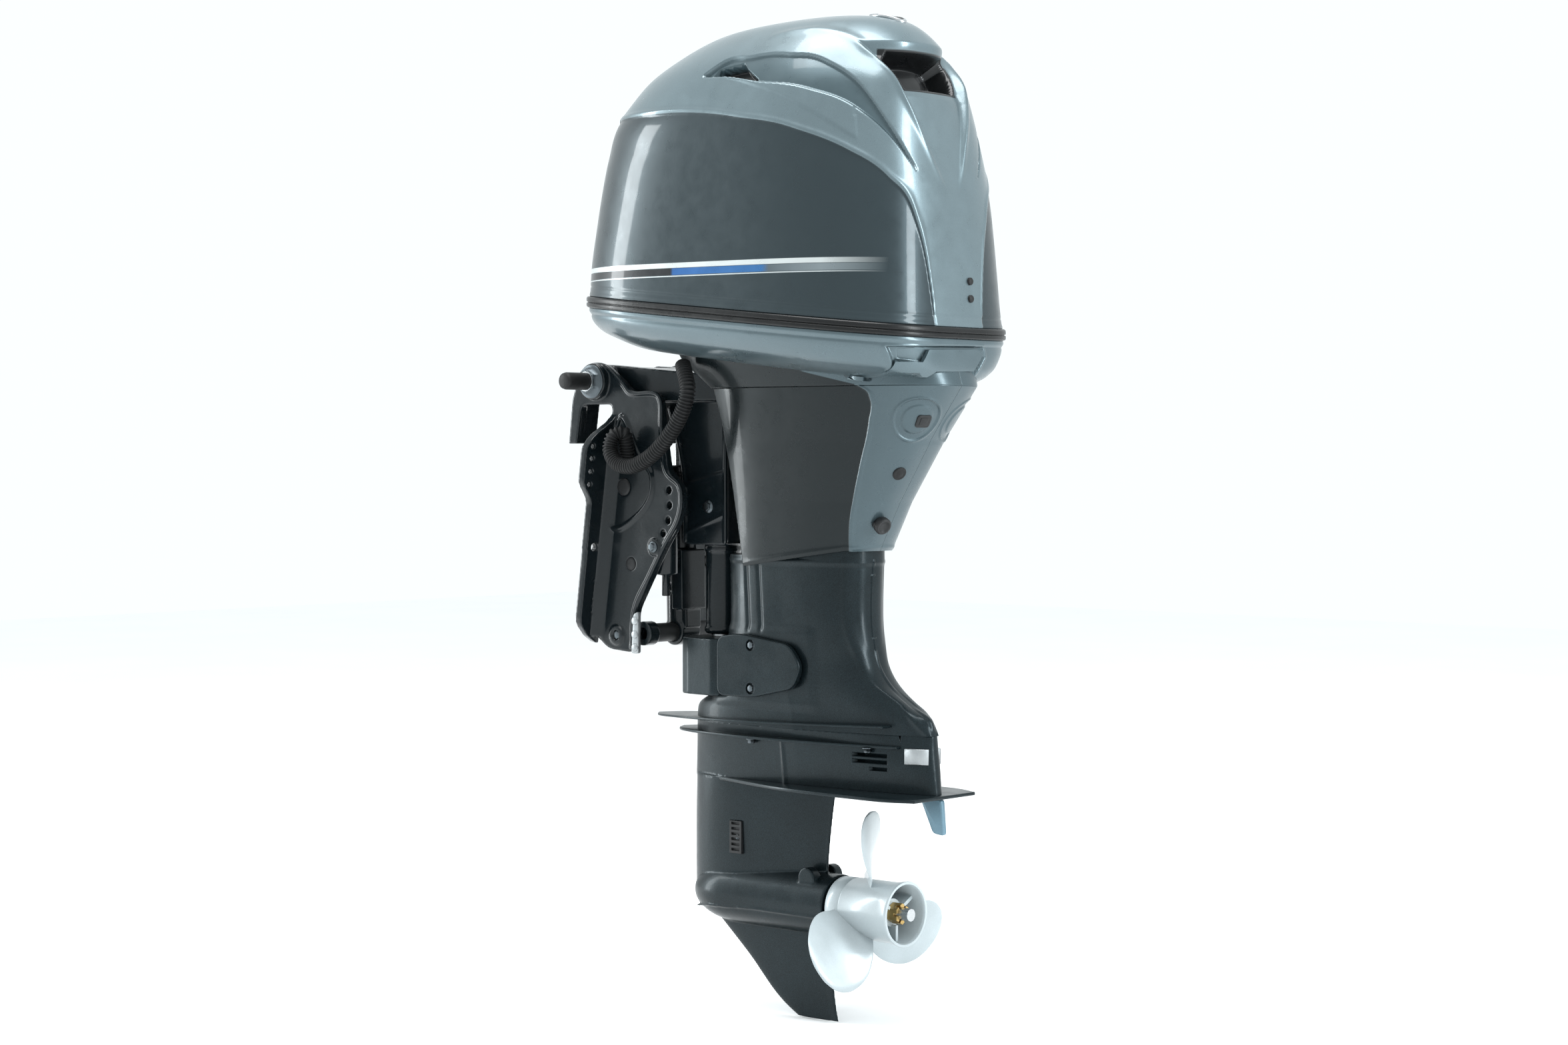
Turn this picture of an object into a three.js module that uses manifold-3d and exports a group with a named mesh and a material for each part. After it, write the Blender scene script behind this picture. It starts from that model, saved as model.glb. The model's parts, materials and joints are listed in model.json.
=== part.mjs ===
// Outboard motor with power trim and tilt, long shaft, three-blade propeller.
// Millimetres. +X points aft, +Y to starboard, +Z up. The origin lies on the centreline where the
// clamp brackets' transom face meets the underside of their hooks, where the boat's transom top sits.
import * as THREE from 'three';
import { mergeVertices } from 'three/addons/utils/BufferGeometryUtils.js';
import ManifoldModule from 'manifold-3d';

const wasm = await ManifoldModule();
wasm.setup();

// ---- driving dimensions -------------------------------------------------------------------------
const GAP = 0.3;                        // clearance kept between touching pieces
const WALL = 4;                         // moulded and cast wall thickness
const LEAN = THREE.MathUtils.degToRad(8); // transom face against the upright driveshaft
const TILT = { x: -33, z: 34 };         // tilt tube axis, along Y
const STEER_X = 142;                    // steering axis, vertical
const SHAFT_X = 226;                    // crankshaft and driveshaft axis, vertical
const SHAFT_R = 8.5;
const PROP_Z = -714;                    // propeller shaft axis, along X
const PROP_SHAFT_R = 9;
const PROP_R = 141;
const HUB_R = 43;
const CASE_JOINT_Z = -462.5;            // upper case to gearcase
const AV_PLATE_Z = -545;                // anti-ventilation plate
const APRON_TOP_Z = 20;
const SEAL = { midX: 276, midZ: 122, slope: 0.1, half: 8 };  // sloping joint between the two cowlings
const LOWER_PIN = { x: 58, z: -337 };   // tilt cylinder's lower pivot
const UPPER_PIN = { x: 52, z: -34 };    // tilt cylinder's upper pivot, at rest
const BRACKET_Y = { inner: 76, outer: 88 };
const PINION_TEETH = 13;
const GEAR_TEETH = 24;
const GEAR_MODULE = 2.75;

// ---- solids -------------------------------------------------------------------------------------
function solidFrom(geometry) {
  const bare = new THREE.BufferGeometry();
  bare.setAttribute('position', geometry.getAttribute('position'));
  if (geometry.index) bare.setIndex(geometry.index);
  const merged = mergeVertices(bare, 1e-4);
  return new wasm.Manifold(new wasm.Mesh({
    numProp: 3,
    vertProperties: new Float32Array(merged.getAttribute('position').array),
    triVerts: new Uint32Array(merged.index.array),
  }));
}

function geometryFrom(solid) {
  const mesh = solid.getMesh();
  const geometry = new THREE.BufferGeometry();
  geometry.setAttribute('position', new THREE.BufferAttribute(new Float32Array(mesh.vertProperties), 3));
  geometry.setIndex(new THREE.BufferAttribute(new Uint32Array(mesh.triVerts), 1));
  geometry.computeVertexNormals();
  return geometry;
}

const join = (...solids) => solids.reduce((whole, piece) => whole.add(piece));
const cut = (body, ...tools) => tools.reduce((left, tool) => left.subtract(tool), body);

function block(x0, x1, y0, y1, z0, z1) {
  const geometry = new THREE.BoxGeometry(x1 - x0, y1 - y0, z1 - z0);
  return solidFrom(geometry.translate((x0 + x1) / 2, (y0 + y1) / 2, (z0 + z1) / 2));
}

// A round bar or cone along one axis from a0 to a1; u and v place it on the other two, in X, Y, Z order.
function bar(axis, radius, a0, a1, u = 0, v = 0, sides = 16, endRadius = radius) {
  const geometry = new THREE.CylinderGeometry(endRadius, radius, a1 - a0, sides);
  const middle = (a0 + a1) / 2;
  if (axis === 'x') return solidFrom(geometry.rotateZ(-Math.PI / 2).translate(middle, u, v));
  if (axis === 'y') return solidFrom(geometry.translate(u, middle, v));
  return solidFrom(geometry.rotateX(Math.PI / 2).translate(u, v, middle));
}

// An outline with every corner rounded by a quadratic of the given reach.
function roundedShape(points, reach) {
  const shape = new THREE.Shape();
  const vectors = points.map(([a, b]) => new THREE.Vector2(a, b));
  vectors.forEach((corner, i) => {
    const before = vectors[(i + vectors.length - 1) % vectors.length];
    const after = vectors[(i + 1) % vectors.length];
    const near = (other) => {
      const step = other.clone().sub(corner);
      return corner.clone().add(step.setLength(Math.min(reach, step.length() * 0.45)));
    };
    const start = near(before);
    const end = near(after);
    if (i === 0) shape.moveTo(start.x, start.y);
    else shape.lineTo(start.x, start.y);
    shape.quadraticCurveTo(corner.x, corner.y, end.x, end.y);
  });
  shape.closePath();
  return shape;
}

const shapeOf = (points) => new THREE.Shape(points.map(([a, b]) => new THREE.Vector2(a, b)));
const extruded = (shape, depth) =>
  new THREE.ExtrudeGeometry(shape, { depth, bevelEnabled: false, curveSegments: 2 });

// An X-Z outline swept along Y.
function sidePlate(shape, y0, y1) {
  return solidFrom(extruded(shape, y1 - y0).rotateX(Math.PI / 2).translate(0, y1, 0));
}

// An X-Y outline swept along Z.
function flatPlate(shape, z0, z1) {
  return solidFrom(extruded(shape, z1 - z0).translate(0, 0, z0));
}

// A skin stretched over rings of equal point count, closed at both ends by fans.
function loft(rings) {
  const count = rings[0].length;
  const points = rings.flat();
  const faces = [];
  for (let k = 0; k + 1 < rings.length; k += 1) {
    for (let j = 0; j < count; j += 1) {
      const next = (j + 1) % count;
      const a = k * count + j;
      const b = k * count + next;
      faces.push([a, b, b + count], [a, b + count, a + count]);
    }
  }
  for (const [ring, start, flip] of [[rings[0], 0, true], [rings.at(-1), points.length - count, false]]) {
    const centre = ring.reduce((sum, p) => sum.add(p), new THREE.Vector3()).divideScalar(count);
    points.push(centre);
    for (let j = 0; j < count; j += 1) {
      const edge = [start + j, start + (j + 1) % count];
      faces.push([points.length - 1, ...(flip ? edge.reverse() : edge)]);
    }
  }
  const volume = faces.reduce((sum, [a, b, c]) =>
    sum + points[a].dot(new THREE.Vector3().crossVectors(points[b], points[c])), 0);
  const index = volume > 0 ? faces.flat() : faces.map(([a, b, c]) => [a, c, b]).flat();
  const geometry = new THREE.BufferGeometry().setFromPoints(points);
  return solidFrom(geometry.setIndex(index));
}

// A superellipse in plan from fwd to aft; taper narrows it towards the tail.
function hullRing({ fwd, aft, half, n = 3, taper = 0 }, heightAt, count) {
  const middle = (fwd + aft) / 2;
  const reach = (aft - fwd) / 2;
  const soften = (value) => Math.sign(value) * Math.abs(value) ** (2 / n);
  return Array.from({ length: count }, (_, i) => {
    const angle = (2 * Math.PI * (i + 0.5)) / count;
    const along = soften(Math.cos(angle));
    const x = middle + reach * along;
    const y = half * soften(Math.sin(angle)) * (1 - taper * Math.max(0, along));
    return new THREE.Vector3(x, y, heightAt(x));
  });
}

// A symmetric aerofoil in plan from fwd to aft.
function foilRing({ fwd, aft, half }, z, side = 9) {
  const thickness = (t) => 10 * half * (0.2969 * Math.sqrt(t) - 0.126 * t - 0.3516 * t ** 2
    + 0.2843 * t ** 3 - 0.1015 * t ** 4);
  const stations = Array.from({ length: side + 1 }, (_, i) => (1 - Math.cos((Math.PI * i) / side)) / 2);
  const point = (t, sign) => new THREE.Vector3(fwd + (aft - fwd) * t, sign * thickness(t), z);
  return [
    ...stations.map((t) => point(t, -1)),
    ...stations.slice(1).reverse().map((t) => point(t, 1)),
  ];
}

// A profile of [distance along, radius] turned round an axis that runs along X.
function turnedX(profile, z, sides = 24) {
  const geometry = new THREE.LatheGeometry(profile.map(([x, r]) => new THREE.Vector2(r, x)), sides);
  return solidFrom(geometry.rotateZ(-Math.PI / 2).translate(0, 0, z));
}

// ---- scene graph --------------------------------------------------------------------------------
const motor = new THREE.Group();
const paints = {
  cowl: [0x8fa6ad, 0.35, 0.5], graphite: [0x2a3438, 0.45, 0.4], black: [0x15191b, 0.6, 0.0],
  rubber: [0x0c0e0f, 0.85, 0.0], alloy: [0x9da4a6, 0.45, 0.9], steel: [0xb4b8ba, 0.3, 1.0],
  prop: [0xd5dadb, 0.4, 0.6], brass: [0xa8813e, 0.35, 1.0], engine: [0x3b4448, 0.6, 0.3],
};
const materials = Object.fromEntries(Object.entries(paints).map(([name, [color, roughness, metalness]]) =>
  [name, new THREE.MeshStandardMaterial({ color, roughness, metalness })]));

function add(name, solid, material, parent = motor) {
  const mesh = new THREE.Mesh(geometryFrom(solid), materials[material]);
  mesh.name = name;
  parent.add(mesh);
  return mesh;
}

// The same piece on the port side (y < 0) and, mirrored, on the starboard side.
function addPair(name, portSolid, material) {
  add(`port_${name}`, portSolid, material);
  add(`starboard_${name}`, portSolid.mirror([0, 1, 0]), material);
}

// ---- cowlings -----------------------------------------------------------------------------------
const sealZ = (x) => SEAL.midZ - SEAL.slope * (x - SEAL.midX);

// Plan outlines of the top cowling, from its foot to just under the crown.
const COWL_STATIONS = [
  { z: 122, fwd: -31, aft: 585, half: 189, n: 3.5 },
  { z: 178, fwd: -31, aft: 581, half: 187, n: 3.4 },
  { z: 235, fwd: -25, aft: 577, half: 184, n: 3.3 },
  { z: 293, fwd: -19, aft: 572, half: 179, n: 3.2 },
  { z: 350, fwd: -11, aft: 561, half: 172, n: 3.1 },
  { z: 408, fwd: 0, aft: 551, half: 160, n: 2.9 },
  { z: 437, fwd: 22, aft: 545, half: 150, n: 2.8 },
  { z: 466, fwd: 46, aft: 534, half: 136, n: 2.6 },
  { z: 494, fwd: 90, aft: 518, half: 115, n: 2.5 },
  { z: 523, fwd: 152, aft: 486, half: 82, n: 2.3 },
  { z: 537, fwd: 235, aft: 430, half: 44, n: 2.1 },
];
const COWL_TOP = 541;
const SLOPE_ENDS_Z = 408;               // the joint's slope has faded out at this height
const PLAN_POINTS = 36;

// The same plan outline, larger all round by a distance, or smaller by a negative one.
const widened = (plan, by) => ({ ...plan, fwd: plan.fwd - by, aft: plan.aft + by, half: plan.half + by });

function cowlBody(inset, foot, stations) {
  const rings = stations.map((station, k) => {
    const fade = Math.max(0, (SLOPE_ENDS_Z - station.z) / (SLOPE_ENDS_Z - SEAL.midZ));
    const lift = k === 0 ? foot : -inset * (station.z / COWL_TOP) ** 2;
    const heightAt = (x) => station.z + lift - fade * SEAL.slope * (x - SEAL.midX);
    return hullRing(widened(station, -inset), heightAt, PLAN_POINTS);
  });
  const crown = { fwd: 335, aft: 361, half: 6, n: 2 };
  rings.push(hullRing(crown, () => COWL_TOP - inset, PLAN_POINTS));
  return loft(rings);
}

function topCowling() {
  const mouth = solidFrom(extruded(shapeOf([[-40, 432], [40, 432], [62, 481], [-62, 481]]), 140)
    .rotateX(Math.PI / 2).rotateZ(Math.PI / 2).translate(470, 0, 0));
  const vent = sidePlate(roundedShape([[252, 446], [322, 446], [300, 471], [268, 471]], 5), -200, 200);
  const lining = COWL_STATIONS.filter((_, k) => k % 2 === 0);
  return cut(cowlBody(0, SEAL.half + GAP, COWL_STATIONS), cowlBody(WALL, -5, lining), mouth, vent);
}

function sealBand() {
  const band = (grow, z0, z1) => {
    const plan = { fwd: -31 - grow, aft: 585 + grow, half: 189 + grow, n: 3.5 };
    return loft([z0, z1].map((z) => hullRing(plan, (x) => sealZ(x) + z, PLAN_POINTS)));
  };
  return cut(band(3, -SEAL.half, SEAL.half), band(-8, -SEAL.half - 2, SEAL.half + 2));
}

// The pan under the joint: plan outlines with their heights at the fore and aft ends.
const PAN_STATIONS = [
  { fwd: -31, aft: 585, half: 188, n: 3.5, zf: 0, za: 0 },
  { fwd: -27, aft: 585, half: 182, n: 3.4, zf: 121, za: 60 },
  { fwd: 0, aft: 578, half: 158, n: 3.2, zf: 100, za: 34 },
  { fwd: 36, aft: 570, half: 128, n: 3.0, zf: 82, za: 23 },
];

function panBody(grow, top) {
  return loft(PAN_STATIONS.map((station, k) => {
    const slope = (station.za - station.zf) / (station.aft - station.fwd);
    const height = (x) => (k === 0 ? sealZ(x) + top : station.zf + slope * (x - station.fwd) - grow);
    return hullRing(widened(station, grow), height, PLAN_POINTS);
  }));
}

// Apron outlines round the midsection, from the pan down to the upper case.
const APRON_STATIONS = [
  { z: 74, fwd: 96, aft: 572, half: 126, n: 2.8 },
  { z: APRON_TOP_Z, fwd: 136, aft: 588, half: 107, n: 2.6 },
  { z: -56, fwd: 152, aft: 532, half: 93, n: 2.6 },
  { z: -140, fwd: 166, aft: 478, half: 79, n: 2.6 },
  { z: -236, fwd: 178, aft: 428, half: 65, n: 2.7 },
];

function apronBody(grow, first, last, stretch) {
  const stations = APRON_STATIONS.slice(first, last + 1);
  return loft(stations.map((station, k) => {
    const end = k === 0 ? stretch : k === stations.length - 1 ? -stretch : 0;
    return hullRing(widened(station, grow), () => station.z + end, 28);
  }));
}

// Everything ahead of the apron's curved front edge, which leaves the swivel bracket room to steer.
function frontClearance() {
  return sidePlate(shapeOf([
    [0, 68], [139, 60], [177, 38], [203, 19], [216, -28], [223, -83], [228, -148], [243, -300], [0, -300],
  ]), -200, 200);
}

function bottomCowling() {
  const pan = panBody(0, -SEAL.half - GAP);
  const belowThroat = block(0, 700, -200, 200, -50, APRON_TOP_Z + GAP);
  const throat = cut(apronBody(0, 0, 1, 0), frontClearance(), belowThroat);
  const hollow = panBody(-WALL, -SEAL.half + 2);
  const shaftWell = cut(apronBody(-WALL, 0, 1, 6), block(0, 206, -200, 200, 66, 200));
  const well = join(shaftWell, block(206, 560, -100, 100, 70, 78));
  return cut(join(pan, throat), hollow, well, block(215, 545, -88, 88, 30, 90));
}

function apronShell() {
  const outer = apronBody(0, 1, 4, 0);
  const belowHem = [[100, -400], [700, -400], [700, -205], [420, -209], [238, -234], [100, -240]];
  const hem = sidePlate(shapeOf(belowHem), -200, 200);
  const shell = cut(outer, apronBody(-WALL, 1, 4, 3), frontClearance(), hem);
  const idlePort = bar('y', 9, -200, 200, 528, -32, 12);
  return cut(shell, idlePort);
}

add('top_cowling', topCowling(), 'cowl');
add('cowl_seal', sealBand(), 'rubber');
add('bottom_cowling', bottomCowling(), 'cowl');
const LATCH_BOX = [540, 610, -128, 20, 34, 66];
add('cowl_latch_lever', cut(panBody(3.5, -12), panBody(0.4, 0), apronBody(0.4, 0, 1, 0))
  .intersect(block(...LATCH_BOX)), 'cowl');
const apron = apronShell();
addPair('apron', apron.intersect(block(0, 700, -200, -GAP, -300, APRON_TOP_Z)), 'cowl');

// ---- midsection ---------------------------------------------------------------------------------
const CASE_STATIONS = [
  { z: -218, fwd: 178, aft: 432, half: 56 },
  { z: -333, fwd: 176, aft: 434, half: 53 },
  { z: -372, fwd: 172, aft: 444, half: 52, taper: 0.1 },
  { z: -402, fwd: 160, aft: 470, half: 51, taper: 0.2 },
  { z: -422, fwd: 136, aft: 500, half: 50, taper: 0.3 },
  { z: -440, fwd: 108, aft: 534, half: 50, taper: 0.45 },
  { z: CASE_JOINT_Z, fwd: 104, aft: 542, half: 50, taper: 0.5 },
];
const CASE_NECK = { fwd: 207, aft: 432, half: 56 };
const CASE_TOP_Z = 23;
const CASE_POINTS = 24;

function caseBody(grow, stretch) {
  const lower = loft(CASE_STATIONS.map((station, k) => {
    const end = k === CASE_STATIONS.length - 1 ? -stretch : 0;
    return hullRing(widened(station, grow), () => station.z + end, CASE_POINTS);
  }));
  const neckPlan = widened(CASE_NECK, grow);
  const neck = [-226, CASE_TOP_Z + stretch].map((z) => hullRing(neckPlan, () => z, CASE_POINTS));
  return join(lower, loft(neck));
}

// A leaf-shaped plate, pointed ahead and blunt behind, mirrored about the centreline.
function leaf(tip, side, z0, z1) {
  const port = side.map(([x, y]) => new THREE.Vector2(x, -y));
  const starboard = side.map(([x, y]) => new THREE.Vector2(x, y)).reverse();
  const shape = new THREE.Shape();
  shape.moveTo(tip, 0);
  shape.splineThru(port);
  shape.lineTo(starboard[0].x, starboard[0].y);
  shape.splineThru([...starboard.slice(1), new THREE.Vector2(tip, 0)]);
  const settings = { depth: z1 - z0, bevelEnabled: false, curveSegments: 6 };
  return solidFrom(new THREE.ExtrudeGeometry(shape, settings).translate(0, 0, z0));
}

function upperCase() {
  const splash = leaf(9, [[80, 42], [200, 64], [340, 62], [486, 46]], -2, 2)
    .rotate([0, -1.4, 0]).translate([0, 0, -461]);
  const trimmed = cut(join(caseBody(0, 0), splash), block(0, 700, -200, 200, -480, CASE_JOINT_Z));
  return cut(trimmed, caseBody(-5, 4));
}

function lowerMountYoke() {
  const block3 = flatPlate(roundedShape([
    [91, -26], [104, -52], [186, -58], [186, 58], [104, 52], [91, 26],
  ], 16), -424, -341);
  return cut(block3, caseBody(0.6, 0));
}

function lowerMountCover() {
  const outline = roundedShape([
    [190, -336], [232, -330], [330, -342], [352, -372], [338, -404], [258, -421], [190, -421],
  ], 14);
  const recess = [-346, -408].map((z) => bar('y', 7, -70, -62, 256, z, 12));
  return cut(sidePlate(outline, -66, -56.5), ...recess);
}

function exhaustGuide() {
  const plate = flatPlate(roundedShape([[214, -70], [430, -70], [430, 70], [214, 70]], 20), 24, 77.7);
  return cut(plate, bar('z', SHAFT_R + 2, 0, 90, SHAFT_X), block(300, 400, -30, 30, 0, 90));
}

function steeringBracket() {
  const outline = [[104, -22], [142, -42], [208, -34], [208, 34], [142, 42], [104, 22]];
  const plate = flatPlate(roundedShape(outline, 14), 51, 59.5);
  const lugs = [-1, 1].map((side) => block(205, 213.5, side * 34 - 12, side * 34 + 12, 30, 59));
  return join(plate, ...lugs);
}

add('upper_case', upperCase(), 'graphite');
add('lower_mount_yoke', lowerMountYoke(), 'graphite');
addPair('lower_mount_cover', lowerMountCover(), 'graphite');
add('exhaust_guide', exhaustGuide(), 'engine');
add('steering_bracket', steeringBracket(), 'graphite');
add('kingpin', bar('z', 17, -340.7, 50.7, STEER_X), 'steel');
add('oil_pan', cut(block(258, 396, -42, 42, -170, 22), block(262, 392, -38, 38, -166, 30)), 'engine');
add('idle_exhaust_port', join(bar('y', 8.5, -100, -84, 528, -32, 12), bar('y', 13, -84, -80, 528, -32, 12))
  .subtract(block(523, 533, -101, -86, -36, -28)), 'black');
const flushStem = bar('x', 11, 461, 482, -36, -184);
add('flush_connector', join(flushStem, bar('x', 14, 482, 490, -36, -184)), 'black');

// ---- gearcase -----------------------------------------------------------------------------------
const BULLET = [[95, 0], [97, 11], [104, 21], [119, 32], [142, 40], [172, 44], [372, 44], [372, 0]];
const PROP_BORE_R = 37;

function gearcase() {
  const head = loft([
    { z: CASE_JOINT_Z - GAP, fwd: 104, aft: 542, half: 50, taper: 0.5 },
    { z: -478, fwd: 102, aft: 543, half: 46, taper: 0.4 },
    { z: -505, fwd: 100, aft: 546, half: 42, taper: 0.3 },
    { z: AV_PLATE_Z, fwd: 97, aft: 550, half: 38, taper: 0.3 },
  ].map((station) => hullRing(station, () => station.z, CASE_POINTS)));
  const strut = loft([
    [{ fwd: 97, aft: 362, half: 36 }, AV_PLATE_Z + 2], [{ fwd: 95, aft: 353, half: 34 }, -600],
    [{ fwd: 94, aft: 347, half: 32 }, -655], [{ fwd: 94, aft: 345, half: 31 }, -700],
  ].map(([plan, z]) => foilRing(plan, z)));
  const skeg = loft([
    [{ fwd: 116, aft: 345, half: 9 }, -738], [{ fwd: 190, aft: 354, half: 6 }, -800],
    [{ fwd: 290, aft: 367, half: 3.5 }, -882],
  ].map(([plan, z]) => foilRing(plan, z)));
  const flange = leaf(60, [[110, 42], [220, 60], [360, 56], [500, 32]], -481, -477);
  const avOutline = [[200, 44], [330, 78], [440, 84], [520, 82], [560, 66]];
  const avPlate = leaf(116, avOutline, AV_PLATE_Z - 3, AV_PLATE_Z + 2);
  const slots = [[422, -492], [422, -501], [450, -511]]
    .map(([x, z]) => block(x, 478, -60, 60, z - 2.5, z + 2.5));
  const tools = [
    turnedX([[186, 0], [186, PROP_BORE_R], [380, PROP_BORE_R], [380, 0]], PROP_Z),
    bar('z', 12, PROP_Z, -450, SHAFT_X),
    bar('z', 23, PROP_Z, -660, SHAFT_X),
    bar('z', 7, PROP_Z + 4, -450, 190),
    block(262, 292, -11, 11, PROP_Z, -450),
    block(400, 500, -24, 24, -530, -450),
    block(506, 548, -60, -22, -502, -479),
    block(506, 548, 22, 60, -502, -479),
    block(186, 210, -60, -29, -653, -605),
    block(186, 210, 29, 60, -653, -605),
    ...slots,
  ];
  return cut(join(head, strut, skeg, flange, avPlate, turnedX(BULLET, PROP_Z)), ...tools);
}

const sideAnode = cut(block(507, 541, -29, -22.3, -501.5, -479.5), bar('y', 3, -30, -26, 524, -490, 10));
const inletGrille = cut(block(186.4, 209.6, -34.5, -29.3, -652.6, -605.4), ...[0, 1, 2, 3, 4, 5].map((row) =>
  block(190, 206, -36, -31, -649 + row * 7.6, -645 + row * 7.6)));

function trimTab() {
  return sidePlate(shapeOf([[518, -548.3], [556, -548.3], [560, -598], [541, -596]]), -4.5, 4.5);
}

const PUMP = { z0: CASE_JOINT_Z, z1: -416, r: 29, chamberR: 22 };

function waterPump() {
  const body = bar('z', PUMP.r, PUMP.z0, PUMP.z1, SHAFT_X);
  const chamber = bar('z', PUMP.chamberR, PUMP.z0 + 12, PUMP.z1 - 12, SHAFT_X);
  const outlet = bar('z', 6, PUMP.z0 + 14, PUMP.z1 + 5, SHAFT_X + 15, 0, 10);
  return cut(body, chamber, bar('z', SHAFT_R + 1.5, -500, -400, SHAFT_X), outlet);
}

function impeller() {
  const vanes = [0, 1, 2, 3, 4, 5].map((i) => block(8, 20, -1.5, 1.5, PUMP.z0 + 14, PUMP.z1 - 14)
    .rotate([0, 0, i * 60]).translate([SHAFT_X, 0, 0]));
  const hub = bar('z', 14, PUMP.z0 + 14, PUMP.z1 - 14, SHAFT_X);
  return cut(join(hub, ...vanes), bar('z', SHAFT_R + GAP, -500, -400, SHAFT_X));
}

add('gearcase', gearcase(), 'graphite');
add('trim_tab', trimTab(), 'alloy');
addPair('side_anode', sideAnode, 'alloy');
addPair('water_inlet', inletGrille, 'black');
add('water_pump_housing', waterPump(), 'black');
const carrierBore = bar('x', PROP_SHAFT_R + 1, 270, 380, 0, PROP_Z);
const exhaustPassage = block(290, 332, -30, 30, PROP_Z + 14, PROP_Z + 40);
const carrierBody = bar('x', PROP_BORE_R - 1, 278, 368, 0, PROP_Z, 20);
add('bearing_carrier', cut(carrierBody, carrierBore, exhaustPassage), 'alloy');

// ---- powerhead ----------------------------------------------------------------------------------
const BLOCK_Z = 78;

function engineBlock() {
  const crankcase = bar('z', 70, BLOCK_Z, 372, SHAFT_X);
  const cylinders = block(SHAFT_X, 392, -72, 72, BLOCK_Z, 372);
  const crankBore = bar('z', 48, 50, 380, SHAFT_X);
  const bores = [0, 1, 2, 3].map((i) => bar('x', 31, 262, 400, 0, 104 + i * 76, 12));
  return cut(join(crankcase, cylinders), crankBore, ...bores);
}

function crankshaft() {
  const webs = [0, 1, 2, 3].map((i) => {
    const throwX = (i === 0 || i === 3 ? 1 : -1) * 18;
    const pin = bar('z', 14, 84 + i * 76, 124 + i * 76, SHAFT_X + throwX, 0, 10);
    const cheeks = [84, 114].map((z) => bar('z', 40, z + i * 76, z + 10 + i * 76, SHAFT_X, 0, 16));
    return join(pin, ...cheeks);
  });
  const journals = [[80, 90], [118, 166], [194, 242], [270, 318], [346, 396]].map(([z0, z1]) =>
    bar('z', 18, z0, z1, SHAFT_X, 0, 12));
  return join(...journals, ...webs);
}

function intakeManifold() {
  const plenum = block(206, 330, -150, -112, 130, 350);
  const runners = [0, 1, 2, 3].map((i) => join(
    bar('x', 15, 320, 432, -130, 150 + i * 60, 10),
    bar('y', 15, -130, -62.8, 424, 150 + i * 60, 10),
  ));
  return join(plenum, ...runners);
}

add('engine_block', engineBlock(), 'engine');
add('cylinder_head', cut(block(392.3, 452, -62.5, 62.5, BLOCK_Z + 2, 368), ...[0, 1, 2, 3].map((i) =>
  bar('x', 27, 390, 404, 0, 104 + i * 76, 10))), 'engine');
const headCoverSide = [[452.3, 84], [486, 88], [496, 110], [496, 320], [486, 352], [452.3, 364]];
add('head_cover', sidePlate(roundedShape(headCoverSide, 8), -48, 48), 'black');
add('intake_manifold', intakeManifold(), 'black');
add('starter_motor', join(bar('z', 32, 170, 330, 262, 118), bar('z', 12, 330, 366, 262, 118, 14)), 'black');
add('electrics_box', block(60, 140, -78, 78, 120, 330), 'black');
add('flywheel_cover', cut(bar('z', 126, 374, 420, 230, 0, 28), bar('z', 121, 380, 430, 230, 0, 28),
  bar('z', 28, 360, 400, SHAFT_X)), 'black');

// ---- crank train --------------------------------------------------------------------------------
add('crankshaft', crankshaft(), 'steel');
const flywheelDish = bar('z', 92, 407, 420, SHAFT_X, 0, 24);
add('flywheel', cut(bar('z', 112, 397, 415, SHAFT_X, 0, 28), flywheelDish), 'steel');
add('driveshaft', bar('z', SHAFT_R, -676, 79.6, SHAFT_X), 'steel');
add('water_pump_impeller', impeller(), 'rubber');

// A straight bevel gear about +Z whose pitch cone has its apex at the origin. pitchR is its pitch radius
// at the large end and mateR that of the gear it meets at a right angle.
function bevelGear(teeth, pitchR, mateR, boreR, firstTooth) {
  const slant = Math.hypot(pitchR, mateR);
  const face = 10;
  const inward = (slant - face) / slant;
  const addendum = 0.7 * GEAR_MODULE;
  const dedendum = 1.0 * GEAR_MODULE;
  const onCone = (rise, scale = 1) => [
    (pitchR + (rise * mateR) / slant) * scale,
    (mateR - (rise * pitchR) / slant) * scale,
  ];
  const back = onCone(-dedendum)[1] + 7;
  const pitch = (2 * Math.PI) / teeth;
  const flanks = [[-dedendum, -0.3], [addendum, -0.12], [addendum, 0.12], [-dedendum, 0.3]];
  const toothed = (place) => Array.from({ length: teeth * flanks.length }, (_, i) => {
    const [rise, share] = flanks[i % flanks.length];
    const [r, z] = place(rise);
    const angle = (Math.floor(i / flanks.length) + firstTooth + share) * pitch;
    return new THREE.Vector3(r * Math.cos(angle), r * Math.sin(angle), z);
  });
  const blank = loft([
    toothed((rise) => onCone(rise, inward)),
    toothed((rise) => onCone(rise)),
    toothed(() => [onCone(-dedendum)[0], back]),
  ]);
  return cut(blank, bar('z', boreR, 0, back + 5, 0, 0, 18));
}

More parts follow.
